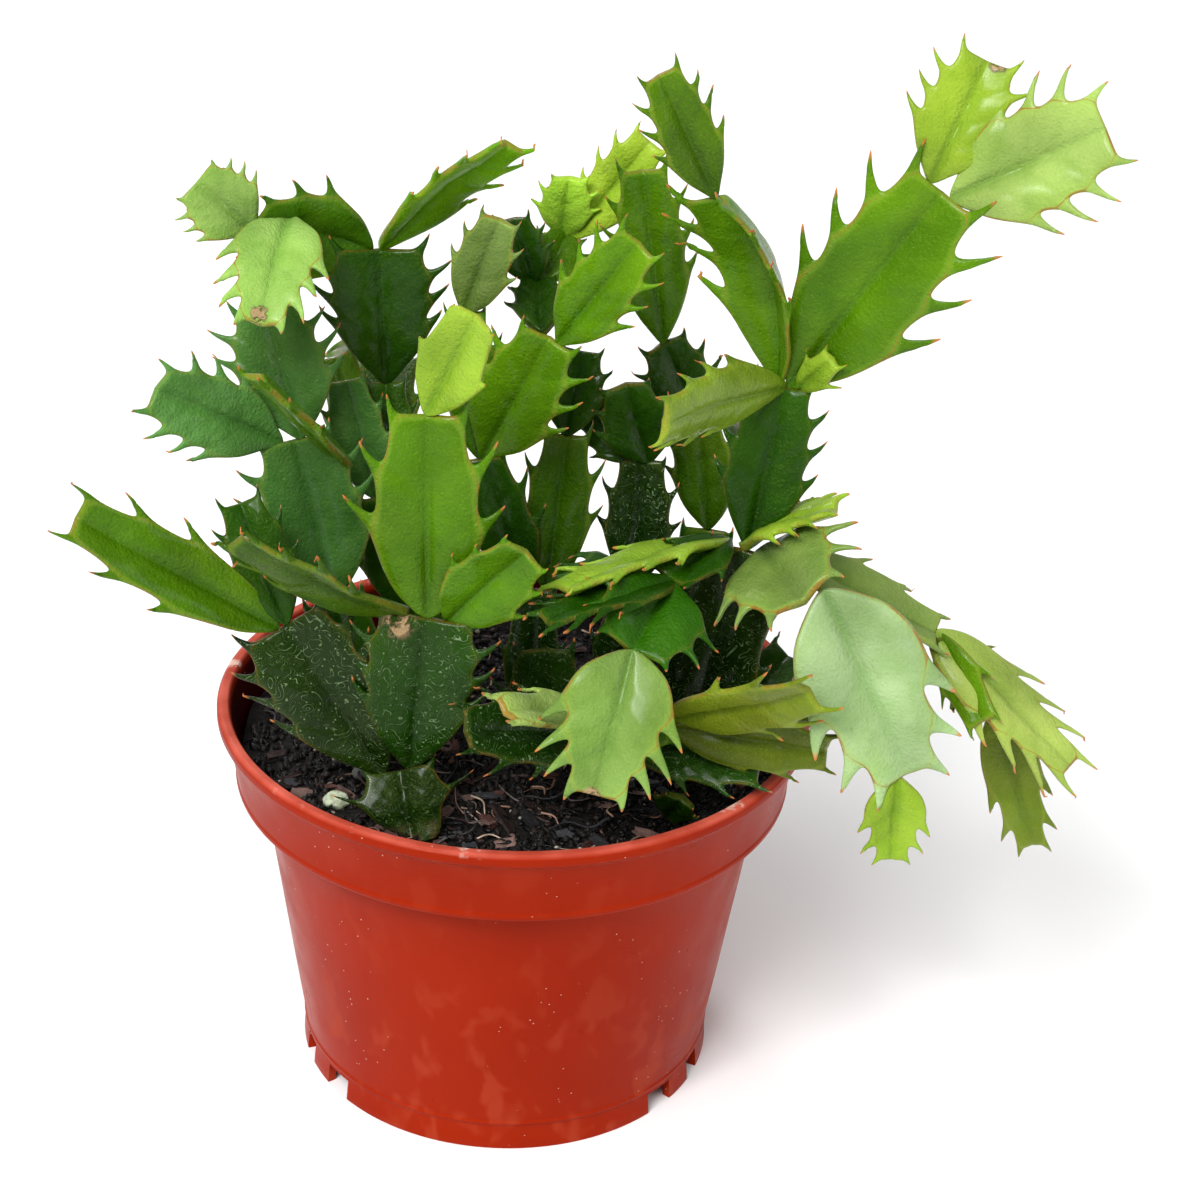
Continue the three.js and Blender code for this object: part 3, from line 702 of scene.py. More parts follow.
def clawPoints(low, high, tip, bow):
    low, high, tip = (np.array([*p, 0.0]) * nominal for p in (low, high, tip))
    middle = (low + high) / 2
    axis = tip - middle
    square = np.array([axis[1], -axis[0], 0])  # outwards, to the lower side of the claw
    square *= (1 if np.dot(square, low - high) > 0 else -1)
    for part, width in clawSteps:
        centre = middle + axis * part + square * bow * 4 * part * (1 - part)
        spread = mix((low - high) / 2, square / np.linalg.norm(square) * np.linalg.norm(low - high) / 2, part) * width
        yield part, (centre + spread) / nominal, (centre - spread) / nominal


def selectEdgeBetween(piece, first, second):
    body = bmesh.from_edit_mesh(piece.data)
    for edge in body.edges:
        ends = [np.array(vertex.co) for vertex in edge.verts]
        near = [min(np.linalg.norm(end - first), np.linalg.norm(end - second)) for end in ends]
        edge.select_set(max(near) < 1e-4 and np.linalg.norm(ends[0] - ends[1]) > 1e-3)
    body.select_flush_mode()
    bmesh.update_edit_mesh(piece.data)


def pullClaw(cage, number, low, high, tip, bow):  # a tooth is pulled out of the rim in steps
    lastLow, lastHigh = np.array([*low, 0.0]), np.array([*high, 0.0])
    for part, nextLow, nextHigh in clawPoints(low, high, tip, bow):
        selectEdgeBetween(cage, lastLow, lastHigh)
        bpy.ops.mesh.extrude_edges_move()
        body = bmesh.from_edit_mesh(cage.data)
        partLayer = body.verts.layers.float['clawPart']
        numberLayer = body.verts.layers.float['clawIndex']
        for vertex in [v for v in body.verts if v.select]:
            here = np.array(vertex.co)
            lower = np.linalg.norm(here - lastLow) < np.linalg.norm(here - lastHigh)
            vertex.co = nextLow if lower else nextHigh
            vertex[partLayer], vertex[numberLayer] = part, number
        bmesh.update_edit_mesh(cage.data)
        lastLow, lastHigh = nextLow, nextHigh


def writeThickness(cage):
    columns, rim = leafForm['columns'], len(leafForm['columns']) - 1
    group = cage.vertex_groups.new(name='thick')
    part, share = readValues(cage.data, 'clawPart'), readValues(cage.data, 'column')
    for vertex in cage.data.vertices:
        i = vertex.index
        along = min(max(vertex.co.y, 0), 1)
        column = min(range(rim + 1), key=lambda k: abs(columns[k] - share[i]))
        if along == 0:
            thick = leafForm['rib'] * leafForm['startThick'][column == rim]
        elif column < rim:
            thick = mix(leafForm['rib'], leafForm['ribTop'], along) * leafForm['thick'][column]
        else:
            thick = mix(leafForm['edge'], leafForm['tip'], part[i])
        group.add([i], thick / leafForm['rib'], 'REPLACE')


def makeLeafCage(teeth):
    edge, claws = leafOutlines[teeth]['edge'], leafOutlines[teeth]['claws']
    rows, columns = len(edge) - 1, leafForm['columns']
    rim = len(columns) - 1
    size = {'x_subdivisions': rim, 'y_subdivisions': rows, 'size': 1}
    cage = addPiece(bpy.ops.mesh.primitive_grid_add, location=(0.5, 0.5, 0), **size)
    cage.name = f'leafCage{teeth}'
    bakePlace(cage)
    mesh = cage.data
    for name in ('row', 'margin', 'clawPart', 'clawIndex', 'column'):
        mesh.attributes.new(name, 'FLOAT', 'POINT')
    for vertex in mesh.vertices:
        column, row = round(vertex.co.x * rim), round(vertex.co.y * rows)
        along, out = edge[row]
        share = columns[column]
        vertex.co = (share * out, mix(min(along, leafForm['ribEnd']), along, share), 0)
        mesh.attributes['row'].data[vertex.index].value = row
        mesh.attributes['column'].data[vertex.index].value = share
        mesh.attributes['margin'].data[vertex.index].value = 1 if column == rim or row == rows else 0
    bpy.ops.object.mode_set(mode='EDIT')
    bpy.ops.mesh.select_mode(type='EDGE')
    for number, (below, tipAlong, tipOut, bow) in enumerate(claws, 1):
        pullClaw(cage, number, edge[below][::-1], edge[below + 1][::-1], (tipOut, tipAlong), bow)
    bpy.ops.object.mode_set(mode='OBJECT')
    applyModifier(cage, 'MIRROR', use_clip=True, merge_threshold=0.0005)
    writeThickness(cage)
    return cage


# the way a segment's flat face turns when its spin is 0: to the front, and up to the light
facing = Vector((0, -0.88, 0.47)).normalized()


def leafAxes(lean, toward, spin):
    lean, toward, spin = (math.radians(angle) for angle in (lean, toward, spin))
    along = Vector((math.cos(toward) * math.sin(lean), -math.sin(toward), math.cos(toward) * math.cos(lean)))
    face = (facing - along * facing.dot(along)).normalized()
    across = along.cross(face)
    return (
        np.array(across * math.cos(spin) + face * math.sin(spin)),
        np.array(along),
        np.array(face * math.cos(spin) - across * math.sin(spin)),
    )


# how each age of segment is coloured: its green, how old its skin is, and how strong its brown rim and its veins are
leafTones = {
    'old': {'green': linear(17, 49, 2), 'age': 1.0, 'rim': 0.25, 'vein': 0.1},
    'worn': {'green': linear(20, 50, 3), 'age': 0.6, 'rim': 0.25, 'vein': 0.12},
    'dark': {'green': linear(28, 68, 2), 'age': 0.4, 'rim': 0.25, 'vein': 0.15},
    'mid': {'green': linear(64, 104, 4), 'age': 0.15, 'rim': 0.3, 'vein': 0.2},
    'bright': {'green': linear(80, 122, 4), 'age': 0.06, 'rim': 0.5, 'vein': 0.2},
    'frost': {'green': linear(57, 97, 42), 'age': 0.25, 'rim': 0.25, 'vein': 0.2},
    'olive': {'green': linear(100, 114, 22), 'age': 0.1, 'rim': 0.5, 'vein': 0.2},
    'straw': {'green': linear(152, 168, 80), 'age': 0.0, 'rim': 0.8, 'vein': 0.3},
    'pale': {'green': linear(136, 166, 84), 'age': 0.0, 'rim': 0.8, 'vein': 0.32},
    'chalk': {'green': linear(153, 172, 126), 'age': 0.0, 'rim': 0.8, 'vein': 0.32},
    'young': {'green': linear(142, 174, 48), 'age': 0.0, 'rim': 0.3, 'vein': 0.25},
}

# each stem: where it stands, how wide its rooted segment starts, the first number of its wobbles, and its slot.
# A row is one segment: its name, the one it grows on, how far beside that one's rib, length, width, lean, how far
# toward the front, spin, curl, fold, teeth, size of its claws, tone, how light it is beside that tone (partly its own
# colour, partly painted light and shade: some segments are darkened as painted shade and some lightened as painted
# light), and how far along the one it grows on if not near its tip. Angles are in degrees.
rowKeys = (
    'name', 'on', 'side', 'long', 'wide', 'lean', 'toward', 'spin', 'curl', 'fold',
    'teeth', 'claw', 'tone', 'shade', 'at',
)
budAt = 0.97
stems = {
    'stem_front_left': {'root': (-18, -40), 'foot': 0.6, 'seed': 1, 'slot': 'leaf_bright'},
    'stem_left': {'root': (-27, -12), 'foot': 0.5, 'seed': 41, 'slot': 'leaf_mid'},
    'stem_back_left': {'root': (-13, 4), 'foot': 0.5, 'seed': 81, 'slot': 'leaf_mid'},
    'stem_centre': {'root': (3, -3), 'foot': 0.7, 'seed': 121, 'slot': 'leaf_mid'},
    'stem_middle': {'root': (20, 6), 'foot': 0.6, 'seed': 161, 'slot': 'leaf_dark'},
    'stem_back_right': {'root': (34, 14), 'foot': 0.6, 'seed': 201, 'slot': 'leaf_mid'},
    'stem_right': {'root': (34, -14), 'foot': 0.5, 'seed': 241, 'slot': 'leaf_bright'},
    'stem_front_right': {'root': (20, -19), 'foot': 0.5, 'seed': 281, 'slot': 'leaf_dark'},
    'stem_stump': {'root': (7, -8), 'foot': 0.6, 'seed': 321, 'slot': 'leaf_dark'},
    'stem_seedling': {'root': (32, -31), 'foot': 0.5, 'seed': 361, 'slot': 'leaf_dark'},
}
stemRows = {
    'stem_front_left': [
        ('frontFoot', None, 0, 11, 22, -15, -33, 0, 0, 5, 2, 1.5, 'worn', 0.55),
        ('frontMain', 'frontFoot', 2, 33, 29, 5, -5, 0, 8, 6, 'fan4', 1, 'old', 1.35),
        ('frontLeft', 'frontFoot', -3, 36, 28, -34, -9, 12, 8, 6, 'fan4', 1, 'old', 0.6),
        ('tongueLeft', 'frontLeft', -2, 48, 17, -50, 18, -18, -10, 12, 3, 1, 'bright', 0.85),
        ('darkLeft', 'frontLeft', 0, 25, 15, -24, -19, -10, 6, 6, 3, 0.9, 'dark', 1),
        ('brownBlade', 'frontMain', -4, 38, 19, -55, 17, 64, 16, 10, 4, 0.9, 'mid', 0.7),
        ('centreBright', 'frontMain', 0, 41, 26, -1, -6, 0, 6, 8, 3, 1.15, 'bright', 0.92),
        ('sideBright', 'frontMain', 4, 25, 19, 38, 16, -18, -10, 12, 3, 0.5, 'bright', 1),
        ('youngOval', 'centreBright', 0, 24, 17, 23, 10, 8, -24, 14, 2, 0.25, 'young', 1.02),
    ],
    'stem_left': [
        ('leftFoot', None, 0, 35, 20, -14, 0, 0, 0, 5, 2, 1, 'dark', 1),
        ('leftBlue', 'leftFoot', 0, 34, 26, -14, -9, 0, 6, 6, 4, 0.9, 'frost', 1),
        ('leftUpper', 'leftBlue', 1, 26, 23, -18, -20, 0, 8, 8, 4, 1, 'frost', 1.3),
        ('leftSide', 'leftBlue', -3, 30, 19, -54, 26, 8, -10, 10, 4, 1, 'frost', 2.3),
        ('edgeBlade', 'leftBlue', 9, 35, 13, -31, 30, 78, -10, 8, 3, 0.8, 'bright', 1, 0.74),
    ],
    'stem_back_left': [
        ('backFoot', None, 0, 27, 18, -18, 7, 0, 0, 5, 2, 0.8, 'dark', 1),
        ('backRise', 'backFoot', 0, 28, 19, -12, 4, 0, 6, 6, 3, 1, 'dark', 1),
        ('backTrunk', 'backRise', 1, 22, 14, -4, -24, 0, 0, 6, 3, 0.8, 'dark', 1),
        ('backWide', 'backTrunk', 0, 28, 27, -3, -3, 0, 10, 8, 'fan4', 1, 'dark', 1.0),
        ('backLean', 'backRise', 0, 37, 19, -4, -58, 20, 12, 8, 3, 1, 'mid', 1),
        ('backLow', 'backLean', 0, 33, 18, -150, -52, -100, 24, 8, 3, 1, 'mid', 1),
        ('backUnder', 'backWide', -2, 24, 23, -70, 22, 34, -36, 12, 3, 1, 'mid', 1),
        ('backClaw', 'backWide', 0, 40, 15, 43, 22, -64, -20, 12, 4, 0.85, 'bright', 1.6),
        ('topLeftYoung', 'backUnder', -2, 14, 18, -51, -6, 0, -10, 10, 4, 0.7, 'pale', 1),
        ('topLeftDroop', 'backUnder', 2, 26, 21, -168, 57, 0, 24, 10, 'saw4', 0.9, 'pale', 1.28, 0.72),
        ('behindBlade', 'backRise', -2, 24, 15, -15, -13, 10, 0, 8, 3, 0.8, 'frost', 1),
        ('arcBlade', 'backRise', -1, 30, 13, -24, -36, 20, 10, 8, 2, 0.8, 'bright', 1),
    ],
    'stem_centre': [
        ('centreFoot', None, 0, 31, 14, 1, -10, 0, 0, 5, 2, 0.7, 'old', 1),
        ('centreRight', 'centreFoot', 2, 33, 17, 5, -10, -10, 6, 8, 3, 1, 'mid', 0.75),
        ('centreLeft', 'centreFoot', -2, 31, 17, -17, 2, 20, 6, 6, 3, 1, 'dark', 1),
        ('centreGreen', 'centreLeft', 0, 31, 22, 24, 8, 0, 6, 8, 4, 0.9, 'bright', 1.15),
        ('centreBack', 'centreLeft', -1, 32, 14, -6, 3, 0, 4, 8, 3, 0.9, 'mid', 1),
        ('centreLean', 'centreLeft', 1, 30, 16, 17, -77, -20, 10, 8, 3, 1, 'mid', 1),
        ('centreTop', 'centreBack', 0, 22, 14, 18, 10, 0, 8, 8, 3, 0.8, 'pale', 0.6),
        ('brownBack', 'centreRight', 0, 17, 16, 9, -22, 10, 0, 6, 3, 0.9, 'dark', 1),
        ('darkBehind', 'centreGreen', -2, 13, 13, -13, -63, 0, 0, 6, 3, 1, 'dark', 1),
        ('brightTop', 'centreGreen', 2, 28, 17, 32, 12, 0, 8, 10, 4, 1, 'bright', 1.3),
        ('darkTop', 'darkBehind', -1, 14, 13, -17, 3, 20, 0, 8, 3, 1, 'dark', 1),
        ('midTop', 'darkBehind', 1, 11, 13, 32, -44, 0, 0, 8, 3, 1, 'mid', 1),
        ('youngLeft', 'midTop', -1, 13, 13, 5, 11, 0, 0, 8, 3, 0.8, 'young', 1.4),
        ('youngRight', 'midTop', 1, 25, 14, 36, -5, -10, 10, 8, 4, 0.8, 'young', 1.3),
    ],
    'stem_middle': [
        ('middleFoot', None, 0, 30, 15, 6, -4, 0, 0, 5, 2, 0.7, 'old', 1),
        ('middleTrunk', 'middleFoot', 0, 28, 17, 1, -2, 0, 4, 6, 3, 0.8, 'old', 0.7),
        ('middleDark', 'middleTrunk', 1, 20, 18, -16, 14, 8, 6, 6, 3, 0.7, 'dark', 1),
        ('middleBack', 'middleTrunk', -1, 13, 13, -58, -29, 0, 0, 6, 3, 0.8, 'dark', 1),
        ('blueDroop', 'middleFoot', -1, 24, 14, -60, 53, -40, 46, 8, 'saw3', 1.1, 'frost', 1),
    ],
    'stem_back_right': [
        ('behindFoot', None, 0, 41, 18, 5, -1, 0, 0, 5, 2, 0.7, 'dark', 1),
        ('behindGreen', 'behindFoot', 0, 25, 16, -7, -1, 10, 0, 6, 3, 0.8, 'mid', 0.6),
        ('behindDark', 'behindGreen', -1, 20, 17, -23, 13, 0, 4, 6, 3, 1, 'dark', 0.8),
        ('tallDark', 'behindDark', 0, 37, 17, -9, 4, 0, 6, 8, 4, 0.9, 'mid', 1.2),
        ('behindLean', 'behindGreen', 2, 26, 17, 132, -63, 40, 14, 8, 3, 1, 'mid', 1),
        ('behindLow', 'behindLean', 0, 30, 18, 166, -39, 150, 20, 8, 3, 1, 'mid', 1),
    ],
    'stem_right': [
        ('rightTrunk', None, 0, 51, 25, 11, -3, 0, 0, 6, 3, 0.5, 'old', 0.6),
        ('rightMain', 'rightTrunk', 1, 33, 20, 9, -14, 0, 6, 8, 4, 0.9, 'dark', 1.1),
        ('rightBig', 'rightMain', 1, 50, 29, 31, 5, 0, 6, 8, 4, 1.15, 'bright', 0.93),
        ('farTopYoung', 'rightBig', -3, 24, 20, 22, -13, 0, 14, 8, 4, 1, 'young', 1),
        ('farTopWide', 'rightBig', 2, 31, 25, 58, 10, 0, -10, 8, 4, 1.1, 'pale', 1.22),
        ('rightCurved', 'rightMain', -1, 42, 21, -20, 6, 58, -72, 36, 4, 1.1, 'bright', 1.1),
        ('topTongue', 'rightCurved', -1, 27, 14, -26, 8, 0, 6, 10, 4, 1, 'bright', 0.8),
        ('rightTongue', 'rightMain', 0, 43, 17, -75, 55, 42, -12, -20, 4, 0.7, 'young', 0.72),
        ('rightBud', 'rightMain', 3, 12, 8, 33, 26, 0, 0, 8, 2, 1.6, 'young', 1),
        ('spanLeft', 'rightTrunk', -3, 40, 18, -90, 39, -72, 10, 8, 4, 1, 'young', 1),
        ('spanRight', 'rightTrunk', 0, 21, 16, 58, 13, 70, 14, 8, 4, 1, 'young', 1),
        ('underBlade', 'rightTrunk', -3, 21, 14, -93, 55, -30, 10, 8, 2, 0.8, 'dark', 1),
        ('lowLeft', 'underBlade', -1, 28, 17, -96, 32, -62, 8, 8, 'saw4', 1.2, 'dark', 1),
        ('hangDark', 'underBlade', 0, 18, 26, -140, 56, 0, 14, 8, 3, 1, 'dark', 1.6),
        ('hangBright', 'hangDark', 0, 28, 26, -167, 27, 0, 16, 8, 'saw4', 1.1, 'pale', 0.8),
        ('droopRight', 'rightTrunk', 4, 22, 29, 93, 70, 0, 16, 8, 3, 1.15, 'pale', 0.7),
        ('droopBright', 'droopRight', -4, 40, 30, 152, 15, 0, 16, 10, 'saw3', 1, 'chalk', 1.1),
        ('droopTip', 'droopBright', 2, 16, 14, 180, 14, 0, 10, 8, 'saw3', 1.1, 'young', 1),
        ('farLink', 'rightTrunk', 4, 39, 17, 115, 3, 46, 14, 8, 3, 0.7, 'pale', 0.75),
        ('farDroop', 'farLink', -1, 38, 17, 128, 21, 22, 12, -12, 'saw4', 1.4, 'straw', 1.15),
        ('farShadow', 'farLink', 1, 23, 16, 139, -12, 20, 0, 8, 3, 0.8, 'olive', 1),
        ('farUnder', 'farShadow', 0, 35, 14, 161, 0, -10, 14, 8, 'saw3', 1, 'olive', 1.3),
        ('farSmall', 'farLink', -2, 21, 11, 144, 37, -20, 0, 8, 2, 0.9, 'bright', 1),
        ('rightLow', 'rightTrunk', 4, 23, 16, 58, -37, 30, 0, 8, 3, 1, 'dark', 1, 0.2),
    ],
    'stem_front_right': [
        ('lowFoot', None, 0, 16, 15, -7, 30, 0, 0, 5, 2, 0.7, 'old', 1),
        ('lowLeftDark', 'lowFoot', -2, 33, 18, -66, 34, -24, 10, 8, 3, 1, 'old', 1),
        ('lowLeftPale', 'lowFoot', -1, 37, 13, -44, 44, -62, 30, 8, 2, 1.1, 'pale', 1.35),
        ('lowRightDark', 'lowFoot', 2, 30, 17, 95, 12, 24, 0, 8, 3, 0.9, 'old', 1.9),
        ('lowLink', 'lowFoot', 1, 15, 14, 58, 21, 0, 0, 6, 2, 0.8, 'mid', 1),
        ('lowRightOlive', 'lowLink', -1, 35, 18, 57, 29, -46, 0, 10, 3, 1, 'olive', 1.25),
        ('lowRightPale', 'lowLink', 1, 31, 16, 95, 3, -30, 0, 10, 3, 1, 'olive', 0.6),
    ],
    'stem_stump': [
        ('stump', None, 0, 23, 20, -3, 3, 0, 0, 5, 2, 1, 'old', 1),
    ],
    'stem_seedling': [
        ('seedling', None, 0, 8, 11, 16, 31, 0, 0, 6, 2, 0.3, 'dark', 1),
    ],
}
leafScars = {  # across, along and size of the dry brown spots
    'frontMain': (-0.35, 0.93, 3.2), 'spanLeft': (0.2, 0.25, 1.6), 'topLeftDroop': (0.05, 0.9, 1.7),
    'hangBright': (0.05, 0.98, 2.0), 'farTopYoung': (0.2, 0.97, 1.6), 'sideBright': (0.9, 0.9, 1.8),
}


def makeAreole():
    areole = addPiece(bpy.ops.mesh.primitive_ico_sphere_add, subdivisions=1, radius=1)
    roughen(areole, leafForm['tuftRough'], 5)
    return areole


leafCages = {teeth: makeLeafCage(teeth) for teeth in leafOutlines}
areoleMaster = makeAreole()


def shapeCage(leaf, segment, seed, foot, shifts):  # brings the cage to size, with teeth that reach unevenly
    edge, claws = leafOutlines[segment['teeth']]['edge'], leafOutlines[segment['teeth']]['claws']
    points = readPoints(leaf.data)
    row, share, part, number = (readValues(leaf.data, key) for key in ('row', 'column', 'clawPart', 'clawIndex'))
    for k, point in enumerate(points):
        s, sign = (0, 1) if point[0] >= 0 else (1, -1)
        if part[k] > 0:
            j = int(round(number[k])) - 1
            below, tipAlong, tipOut, _ = claws[j]
            middle = [(edge[below][i] + edge[below + 1][i]) / 2 for i in (0, 1)]
            reach = segment['claw'] * (1 + leafForm['reachVary'] * wobble(seed * 13 + 5 * s + j)) - 1
            point[1] += part[k] * reach * (tipAlong - middle[0]) + shifts[s]
            point[0] += sign * part[k] * reach * (tipOut - middle[1])
        elif 0 < row[k] < len(edge) - 1:
            point[1] += shifts[s] * share[k]
        if not segment['on'] and row[k] < 3 and part[k] == 0:  # the rooted one starts wide
            start = foot * (leafForm['footShare'] if row[k] == 0 else 1)
            point[0] = sign * share[k] * max(edge[int(row[k])][1], start)
    points *= (segment['wide'] / 2, segment['long'], 1)
    start = row == 0
    points[start, 1] = -leafForm['sunk'] if segment['on'] else -leafForm['buried']
    if segment['on']:
        points[start, 0] = np.sign(points[start, 0]) * share[start] * leafForm['neck']
    writePoints(leaf.data, points)


def veinTo(x, y, out, up):  # how close each point is to the vein that ends in this notch
    rise = leafForm['veinRise'] * abs(out)
    first, way = np.array([0, up - rise]), np.array([out, rise])
    t = np.clip(((x - first[0]) * way[0] + (y - first[1]) * way[1]) / (way @ way), 0, 1)
    apart = np.hypot(x - first[0] - t * way[0], y - first[1] - t * way[1])
    return np.exp(-(apart / leafForm['veinWide']) ** 2) * (1 - 0.45 * t)


def bendLeaf(segment, seed, x, y, part):  # how far each point leaves the flat: curl, fold, waves, dents and hooks
    long, half = segment['long'], segment['wide'] / 2
    v, u = np.clip(y / long, 0, 1), np.abs(x) / half
    bent = 4 * (long * math.tan(math.radians(segment['curl']) / 4) / 2) * v * (1 - v)
    roundness, deep = leafForm['crease']
    bent = bent + math.tan(math.radians(segment['fold'])) * (np.sqrt(x * x + roundness) - deep)
    ripple = np.sin(y * (0.42 + 0.05 * wobble(seed * 3)) + np.sign(x) * 1.3 + seed)
    bent = bent + leafForm['wave'] * u ** 2 * ripple * np.clip(v * 3, 0, 1)
    swell = 4 * np.clip(u, 0, 1) * (1 - np.clip(u, 0, 1)) * np.clip(v * 4, 0, 1)
    bent = bent + leafForm['puff'] * swell * min(half / leafForm['puffFull'], 1)
    across, along = leafForm['dentScale']
    dents = [noise.noise(Vector((a * across, b * along, seed * 3.7))) for a, b in zip(x, y)]
    bent = bent + leafForm['dent'] * np.array(dents) * np.clip(v * 5, 0, 1)
    bent = bent + leafForm['twist'] * wobble(seed * 5) * x / half * v
    return bent + part * part * leafForm['hook'] * np.sign(wobble(seed * 17) + np.sin(y))


def makeLeaf(segment, seed, foot, base, axes):
    name, on, long, half = segment['name'], segment['on'], segment['long'], segment['wide'] / 2
    edge, claws = leafOutlines[segment['teeth']]['edge'], leafOutlines[segment['teeth']]['claws']
    look = leafTones[segment['tone']]
    across, along, face = axes

    def standUp(points):
        return (base + points[:, :1] * across + points[:, 1:2] * along + points[:, 2:] * face) * mm

    leaf = copyOf(leafCages[segment['teeth']])
    shifts = [leafForm['shift'] * wobble(seed * 7 + s) for s in (0, 1)]
    shapeCage(leaf, segment, seed, foot, shifts)
    shell = {'offset': 0, 'vertex_group': 'thick', 'thickness_vertex_group': 0, 'use_even_offset': False}
    applyModifier(leaf, 'SOLIDIFY', thickness=leafForm['rib'], **shell)
    applyModifier(leaf, 'SUBSURF', levels=leafForm['level'], render_levels=leafForm['level'])
    mesh = leaf.data
    margin, part = readValues(mesh, 'margin'), readValues(mesh, 'clawPart')
    x, y, z = readPoints(mesh).T
    notches = [
        (sign * edge[below + 1][1] * half, (edge[below + 1][0] + shifts[s]) * long)
        for below, *_ in claws[:-1] for s, sign in ((0, 1), (1, -1))
    ]
    vein = np.max([veinTo(x, y, out, up) for out, up in notches], axis=0)
    rib = np.exp(-(x / leafForm['ribWide']) ** 2) * np.clip(1.1 - y / long, 0.15, 1)
    scar = np.zeros(len(x))
    if name in leafScars:
        out, up, size = leafScars[name]
        scar = np.exp(-((x - out * half) ** 2 + (y - up * long) ** 2) / size ** 2)
    skin = {
        'vein': vein * look['vein'], 'rib': rib, 'age': look['age'], 'rim': look['rim'], 'scar': scar,
        'woody': 0 if on else np.clip(0.1 - y / 3, 0, 1), 'areole': 0,
        'margin': margin * (1 - np.clip(part * 4, 0, 1)), 'clawPart': part,
    }
    # old skin is a little quilted, and the rib and the veins lie in grooves
    quilt = leafForm['quilt'] * look['age'] * np.sin(x * 1.9 + seed) * np.sin(y * 1.7) * (1 - margin)
    relief = np.sign(z) * (quilt - leafForm['groove'] * rib - leafForm['veinGroove'] * vein)
    writePoints(mesh, standUp(np.stack([x, y, z + relief + bendLeaf(segment, seed, x, y, part)], 1)))
    for done in ('row', 'column', 'clawIndex'):
        mesh.attributes.remove(mesh.attributes[done])
    for key, values in skin.items():
        writeValues(mesh, key, np.broadcast_to(values, len(x)))
    # the row's lightness is partly the segment's own colour and partly painted light and shade
    green = [c * segment['shade'] * (1 + 0.07 * wobble(seed * 19 + i)) for i, c in enumerate(look['green'])]
    patches = np.sin(x * 0.30 + seed) * np.sin(y * 0.21 + seed * 2.3)  # lighter and darker patches, and lighter towards the tip
    writeTint(mesh, green, 0.92 + 0.15 * patches + 0.24 * (np.clip(y / long, 0, 1) - 0.5))
    leaf.vertex_groups.clear()
    tufts = []
    for k, (out, up) in enumerate(notches):
        out, up = np.array([out * 0.985]), np.array([up + 0.1])
        spot = np.stack([out, up, bendLeaf(segment, seed, out, up, np.zeros(1))], 1)
        tuft = copyOf(areoleMaster)
        size, vary = leafForm['tuft']
        bits = readPoints(tuft.data) * np.array(leafForm['tuftShape']) * (size + vary * wobble(seed * 23 + k))
        writePoints(tuft.data, standUp(bits + spot))
        for key in skin:
            writeValues(tuft.data, key, np.full(len(bits), 1.0 if key == 'areole' else 0.0))
        writeTint(tuft.data, green)
        tufts.append(tuft)
    return [leaf, *tufts]


def makeStem(name):
    stem = stems[name]
    grown, pieces = {}, []
    for i, row in enumerate(stemRows[name]):
        segment = {'at': budAt, **dict(zip(rowKeys, row))}
        axes = leafAxes(segment['lean'], segment['toward'], segment['spin'])
        if segment['on']:
            parent = grown[segment['on']]
            across, along, _ = parent['axes']
            base = parent['base'] + along * segment['at'] * parent['long'] + across * segment['side']
        else:
            x, y = stem['root']
            base = np.array([x, y, soilHeight(x, y) + 2])
        grown[segment['name']] = {'base': base, 'axes': axes, 'long': segment['long']}
        pieces += makeLeaf(segment, stem['seed'] + i, stem['foot'], base, axes)
    return smoothPiece(joinPieces(pieces, 'leafyStem' + ''.join(word.title() for word in name.split('_')[1:])))


leafLook = {
    'shade': (0.6, 0.72, 0.45), 'shadeScale': 110, 'shadeMost': 0.55,
    'light': linear(160, 196, 40), 'lightScale': 62, 'lightMost': 0.1,
    'groove': (0.5, 0.66, 0.4), 'ribShade': 0.7,
    'pore': linear(176, 204, 90), 'poreScale': 1700, 'poreMost': 0.12,
    'curl': linear(138, 168, 118), 'curlScale': 250, 'curlTurns': 84.0, 'curlMix': 0.55,
    'dashScale': 620, 'patchScale': 90, 'dotScale': 760,
    # edge: a painted glow of light shining through the thin edge
    'edge': linear(150, 178, 62),
    'rim': linear(150, 104, 42), 'rimScale': 200,
    'claw': linear(198, 112, 62),
    'tuft': linear(150, 108, 72),
    'bark': linear(96, 74, 52), 'barkScale': 300,
    'scar': linear(170, 142, 104), 'scarScale': 520,
    'rough': (0.24, 0.42), 'roughScale': 240, 'dullMore': 0.4,
    'fineGrain': 1700, 'broadGrain': 210, 'bumpDepth': 0.0006,
}


def driedWater(age):  # hard water has dried on the old skin in broken curls and dots
    waves = grain(leafLook['curlScale'], 1, 0.4, 0.8)
    rings = fade(calc('SINE', times(waves, leafLook['curlTurns'])), 0.86, 0.99)
    dashes = patchy(leafLook['dashScale'], 1, 0.38, 0.52)
    curls = times(times(rings, dashes), patchy(leafLook['patchScale'], 1, 0.28, 0.48))
    dots = fade(spots(leafLook['dotScale']), 0.19, 0.11)
    return times(strongest(curls, dots), fade(age, 0.3, 1.0))


